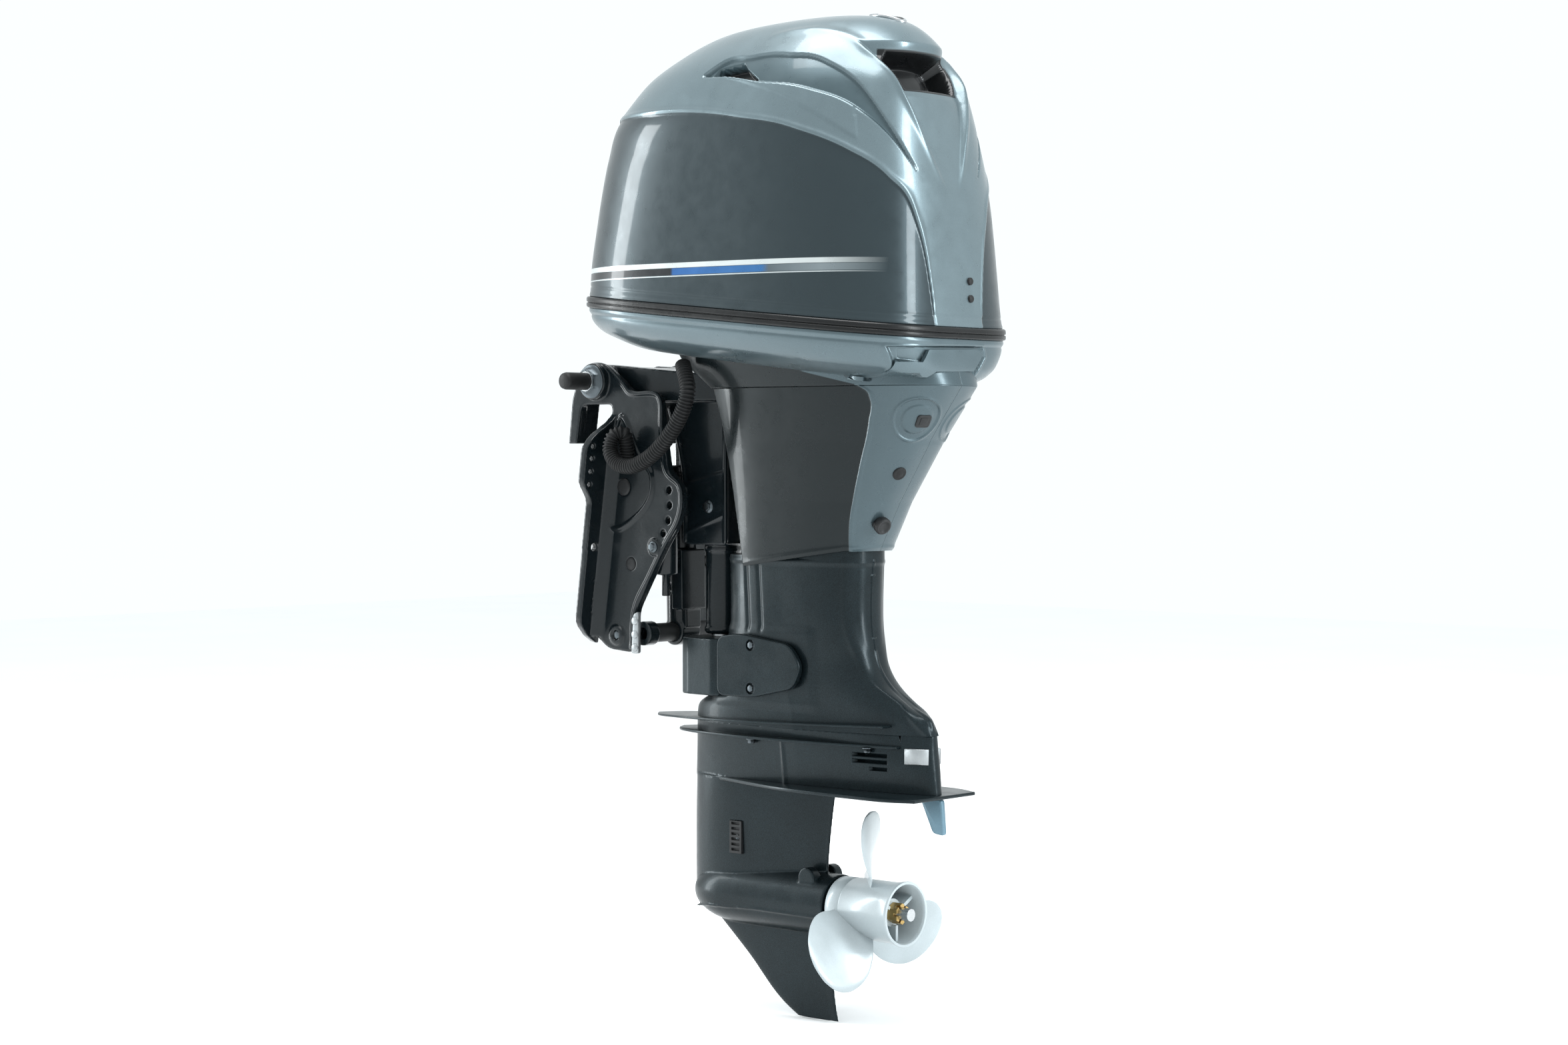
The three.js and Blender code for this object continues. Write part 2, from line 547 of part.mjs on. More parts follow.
const gearR = (GEAR_MODULE * GEAR_TEETH) / 2;
const pinionR = (GEAR_MODULE * PINION_TEETH) / 2;
const gearTrain = new THREE.Group();
gearTrain.position.set(SHAFT_X, 0, PROP_Z);
motor.add(gearTrain);
add('pinion_gear', bevelGear(PINION_TEETH, pinionR, gearR, SHAFT_R + GAP, 0.5), 'steel', gearTrain);
for (const [name, firstTooth, turn] of [['forward_gear', 0.5, -1], ['reverse_gear', 0, 1]]) {
  const gear = bevelGear(GEAR_TEETH, gearR, pinionR, PROP_SHAFT_R + 1.2, firstTooth);
  add(name, gear, 'steel', gearTrain).rotation.y = (turn * Math.PI) / 2;
}
const clutchBore = bar('x', PROP_SHAFT_R + GAP, -20, 20);
add('dog_clutch', cut(bar('x', 15, -10.6, -0.6, 0, 0, 20), clutchBore), 'steel', gearTrain);
const shiftCrank = block(188, 192, -5, 5, -250, -240);
add('shift_rod', join(bar('z', 5, PROP_Z + 14, -228, 190, 0, 12), shiftCrank), 'steel');

// ---- propeller ----------------------------------------------------------------------------------
const PITCH = 330;
const BLADE_X = 419;                    // the blades' root, along the hub

// One blade rises along +Z, its leading edge forward and to starboard: a right-hand propeller.
function blade() {
  const outline = [
    [34, 60, 0], [50, 78, 1], [72, 100, 3], [96, 112, 6], [116, 104, 9], [130, 82, 12], [138, 50, 15],
    [140.6, 16, 17],
  ];
  const sections = outline.map(([radius, chord, sweep]) => {
    const angle = Math.atan2(PITCH, 2 * Math.PI * Math.max(radius, 50));
    const thick = 5.5 - 4 * (radius / PROP_R);
    return Array.from({ length: 10 }, (_, i) => {
      const turn = (2 * Math.PI * i) / 10;
      const along = (chord / 2) * Math.cos(turn) - sweep;
      const across = (thick / 2) * Math.sin(turn);
      const tangential = along * Math.cos(angle) + across * Math.sin(angle);
      const axial = -along * Math.sin(angle) + across * Math.cos(angle) + 0.12 * (radius - 34);
      const wrap = tangential / radius;
      return new THREE.Vector3(BLADE_X + axial, radius * Math.sin(wrap), radius * Math.cos(wrap));
    });
  });
  return loft(sections);
}

function propeller() {
  const hubProfile = [[376, 37], [376, 42], [474, HUB_R], [491, 46], [491, 41.5], [470, 38.5], [376, 37]];
  const barrel = turnedX(hubProfile, 0, 24);
  const core = turnedX([[392, 13], [392, 20], [466, 20], [466, 13], [392, 13]], 0, 16);
  const ribs = [0, 1, 2].map((i) => block(396, 460, -2.5, 2.5, 17, 39.5).rotate([i * 120 + 60, 0, 0]));
  const hubBore = bar('x', 38, 360, 520, 0, 0, 24);
  const blades = [0, 1, 2].map((i) => cut(blade(), hubBore).rotate([i * 120, 0, 0]));
  return join(barrel, core, ...ribs, ...blades).translate([0, 0, PROP_Z]);
}

function propShaft() {
  const shaft = bar('x', PROP_SHAFT_R, 202, 500, 0, PROP_Z, 20);
  return join(shaft, bar('x', 12.5, 392, 466, 0, PROP_Z, 20));
}

function castleNut() {
  const body = bar('x', 15, 467, 484, 0, 0, 6);
  const slots = [0, 60, 120].map((angle) => block(478, 500, -30, 30, -2, 2).rotate([angle, 0, 0]));
  return cut(body, bar('x', PROP_SHAFT_R + GAP, 460, 500, 0, 0, 20), ...slots).translate([0, 0, PROP_Z]);
}

add('propeller', propeller(), 'prop');
add('propeller_shaft', propShaft(), 'steel');
add('propeller_nut', castleNut(), 'brass');

// ---- clamp brackets -----------------------------------------------------------------------------
const FLANGE_THICK = 12;

// The flange that lies against the transom: its outline across the boat, leaned onto the transom face.
function transomFlange() {
  const outline = roundedShape([
    [-80, -4], [-96, -24], [-130, -46], [-144, -64], [-144, -116], [-124, -142], [-122, -326], [-104, -346],
    [-80, -360],
  ], 7);
  return solidFrom(extruded(outline, FLANGE_THICK).rotateX(Math.PI / 2).rotateZ(Math.PI / 2).rotateY(LEAN));
}

function clampBracket() {
  const web = roundedShape([
    [-94, -58], [-86, 10], [-72, 42], [-50, 60], [-16, 60], [23, 32], [36, 20], [98, 14], [104, -37],
    [114, -96], [140, -118], [144, -144], [136, -172], [110, -207], [79, -254], [49, -302], [42, -366],
    [-10, -362], [-47, -336], [0, 0], [-66, 0], [-76, -58],
  ], 9);
  const plate = sidePlate(web, -BRACKET_Y.outer, -BRACKET_Y.inner);
  const hook = sidePlate(shapeOf([[-94, -58], [-86, 6], [-66, 6], [-76, -58]]), -BRACKET_Y.outer, -48);
  const boss = bar('y', 27, -98, -BRACKET_Y.inner, TILT.x, TILT.z, 20);
  const lug = bar('y', 18, -84, -64, LOWER_PIN.x, LOWER_PIN.z, 20);
  const through = ([radius, x, z, sides]) => bar('y', radius, -120, -60, x, z, sides);
  const upperBoltHoles = [-62, -80, -99, -118].map((z) => bar('x', 4.5, -60, 30, -130, z, 8));
  const boltHole = bar('x', 6.5, -90, 30, -108, -211, 8);
  const boltSlot = block(-90, 0, -102, -92, -312, -258);
  const pinHoles = [[115, -126], [116, -148], [113, -170], [103, -189]].map((at) => through([5.5, ...at, 8]));
  const openings = [
    [9, 38, -235, 10], [8, 9, -341, 10], [12, 24, -122, 10],
    [15.6, TILT.x, TILT.z, 20], [9, LOWER_PIN.x, LOWER_PIN.z, 16],
  ].map(through);
  const solid = join(plate, transomFlange(), hook, boss, lug);
  return cut(solid, ...upperBoltHoles, boltHole, boltSlot, ...pinHoles, ...openings);
}

// A tube along Y at the tilt axis.
function tiltAxisTube(radius, y0, y1, sides, boreR, bore0, bore1) {
  const bore = bar('y', boreR, bore0, bore1, TILT.x, TILT.z, 20);
  return cut(bar('y', radius, y0, y1, TILT.x, TILT.z, sides), bore);
}

addPair('clamp_bracket', clampBracket(), 'graphite');
add('tilt_tube', tiltAxisTube(15, -112, 112, 20, 11, -120, 120), 'steel');
addPair('tilt_nut', tiltAxisTube(18.5, -112, -98.3, 6, 15.3, -120, -90), 'steel');
add('tilt_tube_cap', tiltAxisTube(12.8, -156, -112.3, 20, 10, -160, -140), 'black');
const crossBore = bar('y', 8, -70, 70, LOWER_PIN.x, LOWER_PIN.z);
add('lower_cross_tube', cut(bar('y', 14, -63.7, 63.7, LOWER_PIN.x, LOWER_PIN.z), crossBore), 'black');
const anodeSide = roundedShape([[50, -308], [60, -304], [60, -366], [46, -366]], 4);
addPair('bracket_anode', sidePlate(anodeSide, -96, -88.3), 'alloy');

// ---- power tilt ---------------------------------------------------------------------------------
function tiltCylinder() {
  const axis = Math.atan2(UPPER_PIN.x - LOWER_PIN.x, UPPER_PIN.z - LOWER_PIN.z);
  const barrel = bar('z', 22, 12, 246, 0, 0, 24);
  const bore = bar('z', 9.5, 40, 260, 0, 0, 20);
  const pump = join(block(12, 34, -34, 16, 34, 122), block(14, 24, -16, 16, 6, 40));
  const eye = bar('y', 20, -18, 18, 0, 0, 24);
  const whole = cut(join(barrel, pump, eye), bore, bar('y', 14.8, -30, 30, 0, 0, 24));
  return whole.rotate([0, THREE.MathUtils.radToDeg(axis), 0]).translate([LOWER_PIN.x, 0, LOWER_PIN.z]);
}

function tiltRod() {
  const axis = Math.atan2(UPPER_PIN.x - LOWER_PIN.x, UPPER_PIN.z - LOWER_PIN.z);
  const reach = Math.hypot(UPPER_PIN.x - LOWER_PIN.x, UPPER_PIN.z - LOWER_PIN.z);
  const rod = bar('z', 8, 44, reach - 5, 0, 0, 16);
  const eye = bar('y', 13, -12, 12, 0, reach, 20);
  const pin = bar('y', 7, -20, 20, 0, reach, 14);
  const lean = THREE.MathUtils.radToDeg(axis);
  return join(rod, eye, pin).rotate([0, lean, 0]).translate([LOWER_PIN.x, 0, LOWER_PIN.z]);
}

add('tilt_cylinder', tiltCylinder(), 'black');
add('tilt_motor', join(bar('z', 18, -250, -100, 76, -53), bar('z', 6, -282, -250, 76, -53, 12)), 'black');
add('tilt_rod', tiltRod(), 'steel');

// ---- swivel bracket -----------------------------------------------------------------------------
function swivelBracket() {
  const boss = bar('y', 26, -73, 73, TILT.x, TILT.z, 20);
  const deckPlan = flatPlate(roundedShape([
    [-40, -66], [60, -66], [120, -58], [186, -40], [186, 40], [120, 58], [60, 66], [-40, 66],
  ], 12), 0, 70);
  const deckSide = roundedShape([[-33, 8], [-33, 60], [110, 47], [190, 40], [190, 4], [60, 4]], 8);
  const deck = sidePlate(deckSide, -70, 70).intersect(deckPlan);
  const bodySide = roundedShape([[88, 10], [96, -60], [100, -206], [186, -206], [186, 10]], 8);
  const body = sidePlate(bodySide, -40, 40);
  const cheekSide = roundedShape([[8, 12], [8, -20], [40, -58], [100, -58], [100, 12]], 8);
  const cheeks = [-35, 35].map((y) => sidePlate(cheekSide, y - 5, y + 5));
  const tube = bar('z', 25, -337, -190, STEER_X, 0, 20);
  const leverPin = bar('y', 4.5, 38, 58, 20, -8, 12);
  const solid = join(boss, deck, body, ...cheeks, tube, leverPin);
  const kingpinBore = bar('z', 18.5, -400, 100, STEER_X, 0, 20);
  const tiltBore = bar('y', 16.1, -90, 90, TILT.x, TILT.z, 20);
  const rodPocket = block(-80, 12, -40, 40, -10, 70);
  return cut(solid, kingpinBore, tiltBore, rodPocket);
}

function tiltSupportLever() {
  const outline = [[10, 2], [30, 2], [28, -70], [4, -78], [6, -60], [14, -56]];
  const arm = sidePlate(roundedShape(outline, 5), 47, 54);
  return cut(arm, bar('y', 5.2, 40, 60, 20, -8, 12));
}

add('swivel_bracket', swivelBracket(), 'graphite');
add('tilt_support_lever', tiltSupportLever(), 'steel');

// ---- rocker switch and rigging hose -------------------------------------------------------------
add('trim_rocker_switch', block(290, 322, 186.6, 191.5, 82, 100), 'black');

// The corrugated rigging hose, from the pan round to the port clamp bracket.
const HOSE_R = 11.5;
const HOSE_ROUTE = [
  [170, -114, 54], [184, -124, 40], [196, -131, 18], [190, -132, -6], [173, -132, -32], [148, -132, -58],
  [118, -132, -79], [84, -132, -91], [54, -131, -87], [36, -128, -68], [38, -122, -47], [47, -112, -44],
  [46, -104, -66], [42, -102, -90],
];
const HOSE_SPLIT = 0.42;

function hosePiece(from, to) {
  const route = new THREE.CatmullRomCurve3(HOSE_ROUTE.map(([x, y, z]) => new THREE.Vector3(x, y, z)));
  const stretch = Array.from({ length: 13 }, (_, i) => route.getPointAt(from + ((to - from) * i) / 12));
  const section = new THREE.Shape(Array.from({ length: 8 }, (_, i) =>
    new THREE.Vector2(HOSE_R * Math.cos((i * Math.PI) / 4), HOSE_R * Math.sin((i * Math.PI) / 4))));
  const extrudePath = new THREE.CatmullRomCurve3(stretch);
  return solidFrom(new THREE.ExtrudeGeometry(section, { steps: 12, extrudePath, bevelEnabled: false }));
}

add('rigging_hose_upper', hosePiece(0, HOSE_SPLIT - 0.002), 'rubber');
add('rigging_hose_lower', hosePiece(HOSE_SPLIT + 0.002, 1), 'rubber');

export default motor;
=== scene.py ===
import json
import math
import bmesh
import bpy
import numpy as np
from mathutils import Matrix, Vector


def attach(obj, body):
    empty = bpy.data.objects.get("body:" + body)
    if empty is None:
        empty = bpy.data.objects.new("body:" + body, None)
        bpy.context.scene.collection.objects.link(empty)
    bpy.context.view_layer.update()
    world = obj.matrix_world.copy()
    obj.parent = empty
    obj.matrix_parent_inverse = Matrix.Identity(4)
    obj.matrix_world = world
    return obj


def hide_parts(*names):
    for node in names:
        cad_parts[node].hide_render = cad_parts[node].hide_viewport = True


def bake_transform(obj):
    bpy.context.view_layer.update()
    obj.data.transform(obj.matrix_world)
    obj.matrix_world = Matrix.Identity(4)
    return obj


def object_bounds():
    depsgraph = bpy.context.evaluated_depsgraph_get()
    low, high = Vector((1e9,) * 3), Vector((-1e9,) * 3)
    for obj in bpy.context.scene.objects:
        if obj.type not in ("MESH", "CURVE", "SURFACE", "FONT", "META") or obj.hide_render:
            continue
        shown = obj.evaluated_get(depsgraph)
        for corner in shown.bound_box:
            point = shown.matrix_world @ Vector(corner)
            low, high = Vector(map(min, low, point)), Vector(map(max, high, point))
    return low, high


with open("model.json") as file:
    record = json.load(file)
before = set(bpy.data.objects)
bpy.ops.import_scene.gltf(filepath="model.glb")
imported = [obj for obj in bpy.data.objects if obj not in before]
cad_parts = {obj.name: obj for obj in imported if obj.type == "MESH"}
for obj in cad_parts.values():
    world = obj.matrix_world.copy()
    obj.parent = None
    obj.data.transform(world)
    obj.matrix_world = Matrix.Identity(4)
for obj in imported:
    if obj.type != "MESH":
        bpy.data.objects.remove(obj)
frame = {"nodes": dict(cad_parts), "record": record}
cad_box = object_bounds()

# Points are written in millimetres in the frame's own axes: +X aft, +Y starboard, +Z up.
MM = 0.001
PROP_Z, STEER_X = -714, 142
TILT_X, TILT_Z = -33, 34
LEAN = math.radians(8)
BODY_OF = {node: body for body, nodes in frame["record"]["behaviour"]["bodies"].items() for node in nodes}


# ---- curves and fields --------------------------------------------------------------------------
def hermite(xs, ys, x):
    """A smooth curve through the points (xs, ys), read at x."""
    xs, ys = np.asarray(xs, float), np.asarray(ys, float)
    if xs[0] > xs[-1]:
        xs, ys = xs[::-1], ys[::-1]
    x = np.clip(np.asarray(x, float), xs[0], xs[-1])
    slopes = np.gradient(ys, xs)
    k = np.clip(np.searchsorted(xs, x) - 1, 0, len(xs) - 2)
    h = xs[k + 1] - xs[k]
    t = (x - xs[k]) / h
    return ((2 * t**3 - 3 * t**2 + 1) * ys[k] + (t**3 - 2 * t**2 + t) * h * slopes[k]
            + (3 * t**2 - 2 * t**3) * ys[k + 1] + (t**3 - t**2) * h * slopes[k + 1])


def polyline(points, x):
    """A line of (x, y) points read at x."""
    xs, ys = np.array(sorted(points), float).T
    return np.interp(x, xs, ys)


def smooth(d, width):
    """0 below -width/2, 1 above +width/2."""
    t = np.clip(np.asarray(d, float) / width + 0.5, 0, 1)
    return t * t * (3 - 2 * t)


def ridge(d, height, width):
    """A round ridge along d = 0, or a groove where the height is negative."""
    return height * np.exp(-((d / width) ** 2))


def to_segment(ax, ay, bx, by, px, py):
    """Distance to one straight segment."""
    ex, ey = bx - ax, by - ay
    t = np.clip(((px - ax) * ex + (py - ay) * ey) / (ex * ex + ey * ey), 0, 1)
    return np.hypot(px - ax - t * ex, py - ay - t * ey)


def inside(points, px, py):
    """Signed distance to a closed outline, positive inside it."""
    points = np.asarray(points, float)
    best = np.full(np.shape(px), 1e9)
    sign = np.zeros(np.shape(px), bool)
    for (ax, ay), (bx, by) in zip(points, np.roll(points, -1, 0)):
        best = np.minimum(best, to_segment(ax, ay, bx, by, px, py))
        with np.errstate(divide="ignore", invalid="ignore"):
            crosses = ((ay > py) != (by > py)) & (px < ax + (py - ay) * (bx - ax) / ((by - ay) or 1e-9))
        sign ^= crosses
    return np.where(sign, best, -best)


def near_line(points, px, py):
    """Distance to an open line of points."""
    best = np.full(np.shape(px), 1e9)
    for (ax, ay), (bx, by) in zip(points[:-1], points[1:]):
        best = np.minimum(best, to_segment(ax, ay, bx, by, px, py))
    return best


def along(points, step=None, count=None, closed=False):
    """Points at even spacing on a smooth curve through the given ones."""
    p = np.asarray(points, float)
    if closed:
        p = np.vstack([p[-2:], p, p[:3]])
    cum = np.r_[0, np.cumsum(np.sqrt(np.linalg.norm(np.diff(p, axis=0), axis=1)))]
    lo, hi = (cum[2], cum[-3]) if closed else (0, cum[-1])
    fine = np.linspace(lo, hi, 60 * len(p))
    curve = np.stack([hermite(cum, p[:, i], fine) for i in range(p.shape[1])], 1)
    length = np.r_[0, np.cumsum(np.linalg.norm(np.diff(curve, axis=0), axis=1))]
    n = count or max(4, int(length[-1] / step))
    at = np.linspace(0, length[-1], n, endpoint=not closed)
    return np.stack([np.interp(at, length, curve[:, i]) for i in range(p.shape[1])], 1)


# ---- mesh building ------------------------------------------------------------------------------
def piece(name, parts):
    """One mesh object from (points, faces) parts, in millimetres."""
    points, faces, start = [], [], 0
    for pts, fcs in parts:
        pts = np.asarray(pts, float).reshape(-1, 3)
        points.append(pts)
        faces += [tuple(i + start for i in f) for f in fcs]
        start += len(pts)
    mesh = bpy.data.meshes.new(name)
    mesh.from_pydata((np.vstack(points) * MM).tolist(), [], faces)
    mesh.validate()
    turned = bmesh.new()
    turned.from_mesh(mesh)
    bmesh.ops.recalc_face_normals(turned, faces=turned.faces)
    turned.to_mesh(mesh)
    turned.free()
    mesh.shade_smooth()
    obj = bpy.data.objects.new(name, mesh)
    bpy.context.scene.collection.objects.link(obj)
    return obj


def tag(obj, name, values):
    """Stores one number per vertex for the materials to read."""
    attribute = obj.data.attributes.get(name) or obj.data.attributes.new(name, "FLOAT", "POINT")
    attribute.data.foreach_set("value", np.asarray(values, np.float32).ravel())


def applied(obj):
    graph = bpy.context.evaluated_depsgraph_get()
    mesh = bpy.data.meshes.new_from_object(obj.evaluated_get(graph))
    obj.modifiers.clear()
    obj.data = mesh
    return obj


def crisp(obj, width=0.8, segments=2, angle=30):
    """Small round edges, with flat faces kept flat in the shading."""
    obj.data.shade_smooth()
    obj.modifiers.new("weld", "WELD").merge_threshold = 0.02 * MM
    bevel = obj.modifiers.new("edges", "BEVEL")
    bevel.width = width * MM
    bevel.segments = segments
    bevel.limit_method = "ANGLE"
    bevel.angle_limit = math.radians(angle)
    bevel.harden_normals = False
    obj.modifiers.new("normals", "WEIGHTED_NORMAL").keep_sharp = True
    return obj


def boolean(obj, others, operation="DIFFERENCE"):
    for other in others:
        cutter = obj.modifiers.new("cut", "BOOLEAN")
        cutter.operation = operation
        cutter.solver = "EXACT"
        cutter.object = other
    applied(obj)
    for other in others:
        bpy.data.objects.remove(other)
    return obj


def quads(rows, cols, wrap=True, flip=False):
    r, c = np.meshgrid(np.arange(rows - 1), np.arange(cols if wrap else cols - 1), indexing="ij")
    n = (c + 1) % cols
    f = np.stack([r * cols + c, r * cols + n, (r + 1) * cols + n, (r + 1) * cols + c], -1).reshape(-1, 4)
    return (f[:, ::-1] if flip else f).tolist()


def loft(grid):
    """A closed skin over rings of points: grid is rows x cols x 3, its rings turning about +Z going up."""
    rows, cols = grid.shape[:2]
    faces = quads(rows, cols)
    faces.append(list(range(cols))[::-1])
    faces.append([(rows - 1) * cols + i for i in range(cols)])
    return grid.reshape(-1, 3), faces


def at_height(ring, z):
    return np.column_stack([ring, np.full(len(ring), z)])


def normals(grid, wrap=True):
    du = np.roll(grid, -1, 1) - np.roll(grid, 1, 1) if wrap else np.gradient(grid, axis=1)
    dv = np.gradient(grid, axis=0)
    n = np.cross(du, dv)
    return n / np.maximum(np.linalg.norm(n, axis=2, keepdims=True), 1e-9)


def shell(grid, thickness):
    """A closed sheet from an open grid, thickened to the inner side."""
    rows, cols = grid.shape[:2]
    inner = grid - normals(grid, False) * thickness
    n = rows * cols
    rim = ([r * cols for r in range(rows)] + [(rows - 1) * cols + c for c in range(1, cols)]
           + [r * cols + cols - 1 for r in range(rows - 2, -1, -1)] + list(range(cols - 2, 0, -1)))
    sides = [[a, a + n, b + n, b] for a, b in zip(rim, rim[1:] + rim[:1])]
    faces = quads(rows, cols, False) + [[i + n for i in f] for f in quads(rows, cols, False, True)]
    return np.vstack([grid.reshape(-1, 3), inner.reshape(-1, 3)]), faces + [f[::-1] for f in sides]


def hull(fwd, aft, half, n, count, taper=0):
    """One superellipse ring in plan, evenly spaced from the aft end, port side last."""
    t = np.linspace(0, 2 * math.pi, 1441)
    c, s = np.cos(t), np.sin(t)
    r = (np.abs(c) ** n + np.abs(s) ** n) ** (-1 / n)
    x = (fwd + aft) / 2 + (aft - fwd) / 2 * r * c
    y = half * r * s * (1 - taper * np.maximum(0, r * c))
    d = np.r_[0, np.cumsum(np.hypot(np.diff(x), np.diff(y)))]
    at = np.linspace(0, d[-1], count, endpoint=False)
    return np.stack([np.interp(at, d, x), np.interp(at, d, y)], 1)


def foil(fwd, aft, half, count, blunt=0.0):
    """One symmetric aerofoil ring in plan."""
    t = (1 - np.cos(np.linspace(0, math.pi, count // 2 + 1))) / 2
    y = 10 * half * (0.2969 * np.sqrt(t) - 0.126 * t - 0.3516 * t**2 + 0.2843 * t**3 - 0.1015 * t**4)
    y = np.maximum(y, blunt * np.sqrt(np.clip(t * 8, 0, 1)))
    x = fwd + (aft - fwd) * t
    return np.vstack([np.stack([x, y], 1)[::-1], np.stack([x, -y], 1)[1:-1]])


def stations(table, count):
    """Station columns read smoothly at evenly spaced steps along the stack of them."""
    table = np.asarray(table, float)
    step = np.linalg.norm(np.diff(table[:, :4], axis=0) * [1, 0.5, 0.5, 1], axis=1)
    cum = np.r_[0, np.cumsum(np.maximum(step, 1))]
    at = np.linspace(0, 1, count) * cum[-1]
    return np.stack([hermite(cum, table[:, i], at) for i in range(table.shape[1])], 1)


def tube(path, radius, sides=24, closed=False, radii=None):
    """A round bar along a path of points, closed at its ends."""
    p = np.asarray(path, float)
    t = np.roll(p, -1, 0) - np.roll(p, 1, 0) if closed else np.gradient(p, axis=0)
    t /= np.linalg.norm(t, axis=1, keepdims=True)
    up = np.array([0.0, 1.0, 0.0]) if abs(t[0][1]) < 0.8 else np.array([1.0, 0.0, 0.0])
    side = np.cross(t[0], up)
    sides_at = []
    for k in range(len(p)):
        side = side - t[k] * np.dot(side, t[k])
        side /= np.linalg.norm(side)
        sides_at.append(side)
    u = np.array(sides_at)
    v = np.cross(t, u)
    angle = np.linspace(0, 2 * math.pi, sides, endpoint=False)
    r = (np.full(len(p), radius) if radii is None else np.asarray(radii))[:, None, None]
    c, s = np.cos(angle)[None, :, None], np.sin(angle)[None, :, None]
    grid = p[:, None] + r * (c * u[:, None] + s * v[:, None])
    if not closed:
        return loft(grid)
    pts, faces = grid.reshape(-1, 3), quads(len(p), sides)
    last = (len(p) - 1) * sides
    faces += [[last + i, last + (i + 1) % sides, (i + 1) % sides, i] for i in range(sides)]
    return pts, faces


def facing(axis, base, c, s):
    """A ring's points, its circle (c, s) standing square to the axis at the place base."""
    return np.stack({"x": (base, c, s), "y": (s, base, c), "z": (c, s, base)}[axis], 1)


def lathe(profile, axis, centre, sides=64):
    """(along, radius) points turned round an axis. A profile that ends where it starts is a closed ring."""
    angle = np.linspace(0, 2 * math.pi, sides, endpoint=False)
    rows = []
    for a, r in profile:
        c, s = r * np.cos(angle), r * np.sin(angle)
        rows.append(facing(axis, np.full(sides, float(a)), c, s))
    grid = np.array(rows) + np.asarray(centre, float)
    if profile[0][1] > 0.01 and profile[0] == profile[-1]:
        return grid[:-1].reshape(-1, 3), [[i % ((len(profile) - 1) * sides) for i in f]
                                          for f in quads(len(profile), sides)]
    return loft(grid)


def rounded(points, reach, steps=6):
    """An outline with each corner rounded."""
    p = np.asarray(points, float)
    out = []
    for before, corner, after in zip(np.roll(p, 1, 0), p, np.roll(p, -1, 0)):
        a, b = before - corner, after - corner
        a *= min(reach, np.linalg.norm(a) * 0.45) / np.linalg.norm(a)
        b *= min(reach, np.linalg.norm(b) * 0.45) / np.linalg.norm(b)
        for t in np.linspace(0, 1, steps):
            out.append(corner + a * (1 - t) ** 2 + b * t**2)
    return np.array(out)


def slab(outline, low, high, plane="xz", edge=1.0):
    """An outline given depth, with softened rims. plane xz runs along Y, xy along Z and yz along X."""
    o = np.asarray(outline, float)
    area = np.sum(o[:, 0] * np.roll(o[:, 1], -1) - np.roll(o[:, 0], -1) * o[:, 1])
    if area < 0:
        o = o[::-1]
    t = np.roll(o, -1, 0) - np.roll(o, 1, 0)
    t /= np.maximum(np.linalg.norm(t, axis=1, keepdims=True), 1e-9)
    inward = np.stack([-t[:, 1], t[:, 0]], 1)
    rings = [(edge, 0), (edge * 0.3, edge * 0.3), (0, edge), (0, high - low - edge),
             (edge * 0.3, high - low - edge * 0.3), (edge, high - low)]
    grid = []
    for shrink, lift in rings:
        q = o + inward * shrink
        h = np.full(len(o), low + lift)
        grid.append(np.stack({"xz": (q[:, 0], h, q[:, 1]), "xy": (q[:, 0], q[:, 1], h),
                              "yz": (h, q[:, 0], q[:, 1])}[plane], 1))
    grid = np.array(grid)
    return loft(grid[:, ::-1] if plane == "xz" else grid)


def box(x0, x1, y0, y1, z0, z1, edge=0.8):
    return slab([[x0, y0], [x1, y0], [x1, y1], [x0, y1]], z0, z1, "xy", edge)


def bolt(centre, axis, radius, height, sign=1, sides=6):
    """A hexagon head on a washer, its face outward along the axis."""
    around = np.linspace(0, 2 * math.pi, 48, endpoint=False)
    round_ring = np.ones(48)
    rows = [(0, 1.35, round_ring), (height * 0.18, 1.35, round_ring), (height * 0.22, 1.3, round_ring)]
    hexed = np.cos(math.pi / sides) / np.cos((around % (2 * math.pi / sides)) - math.pi / sides)
    for lift, grow in [(0.22, 1.0), (0.9, 1.0), (0.97, 0.95), (1.0, 0.85)]:
        rows.append((height * lift, grow, hexed if grow > 0.9 else round_ring))
    grid = []
    for lift, grow, shape in rows:
        c, s = radius * grow * shape * np.cos(around), radius * grow * shape * np.sin(around)
        grid.append(facing(axis, np.full(48, lift * sign), c, s))
    grid = np.array(grid) + np.asarray(centre, float)
    return loft(grid if sign > 0 else grid[:, ::-1])


def mirrored(part):
    points, faces = part
    return np.asarray(points) * [1, -1, 1], [list(f)[::-1] for f in faces]


SIDES = [("port", -1, lambda part: part), ("starboard", 1, mirrored)]


def swung(part, angle, x0=0, z0=0):
    """Turned about Y from upright, then moved to (x0, z0)."""
    points, faces = part
    x, y, z = np.asarray(points, float).T
    c, s = math.cos(angle), math.sin(angle)
    return np.stack([x * c + z * s + x0, y, z * c - x * s + z0], 1), faces


def rolled(part, angle, z0):
    """Turned about X, then raised to z0."""
    points, faces = part
    x, y, z = np.asarray(points, float).T
    c, s = math.cos(angle), math.sin(angle)
    return np.stack([x, y * c - z * s, y * s + z * c + z0], 1), faces


def cad(node):
    """The CAD node's own mesh, to build on."""
    mesh = frame["nodes"][node].data
    co = np.zeros(len(mesh.vertices) * 3)
    mesh.vertices.foreach_get("co", co)
    points, same = np.unique(np.round(co.reshape(-1, 3) / MM, 3), axis=0, return_inverse=True)
    same = same.ravel()
    faces = [list(dict.fromkeys(int(same[i]) for i in p.vertices)) for p in mesh.polygons]
    return points, [f for f in faces if len(f) > 2]


def coarse(fine):
    return fine


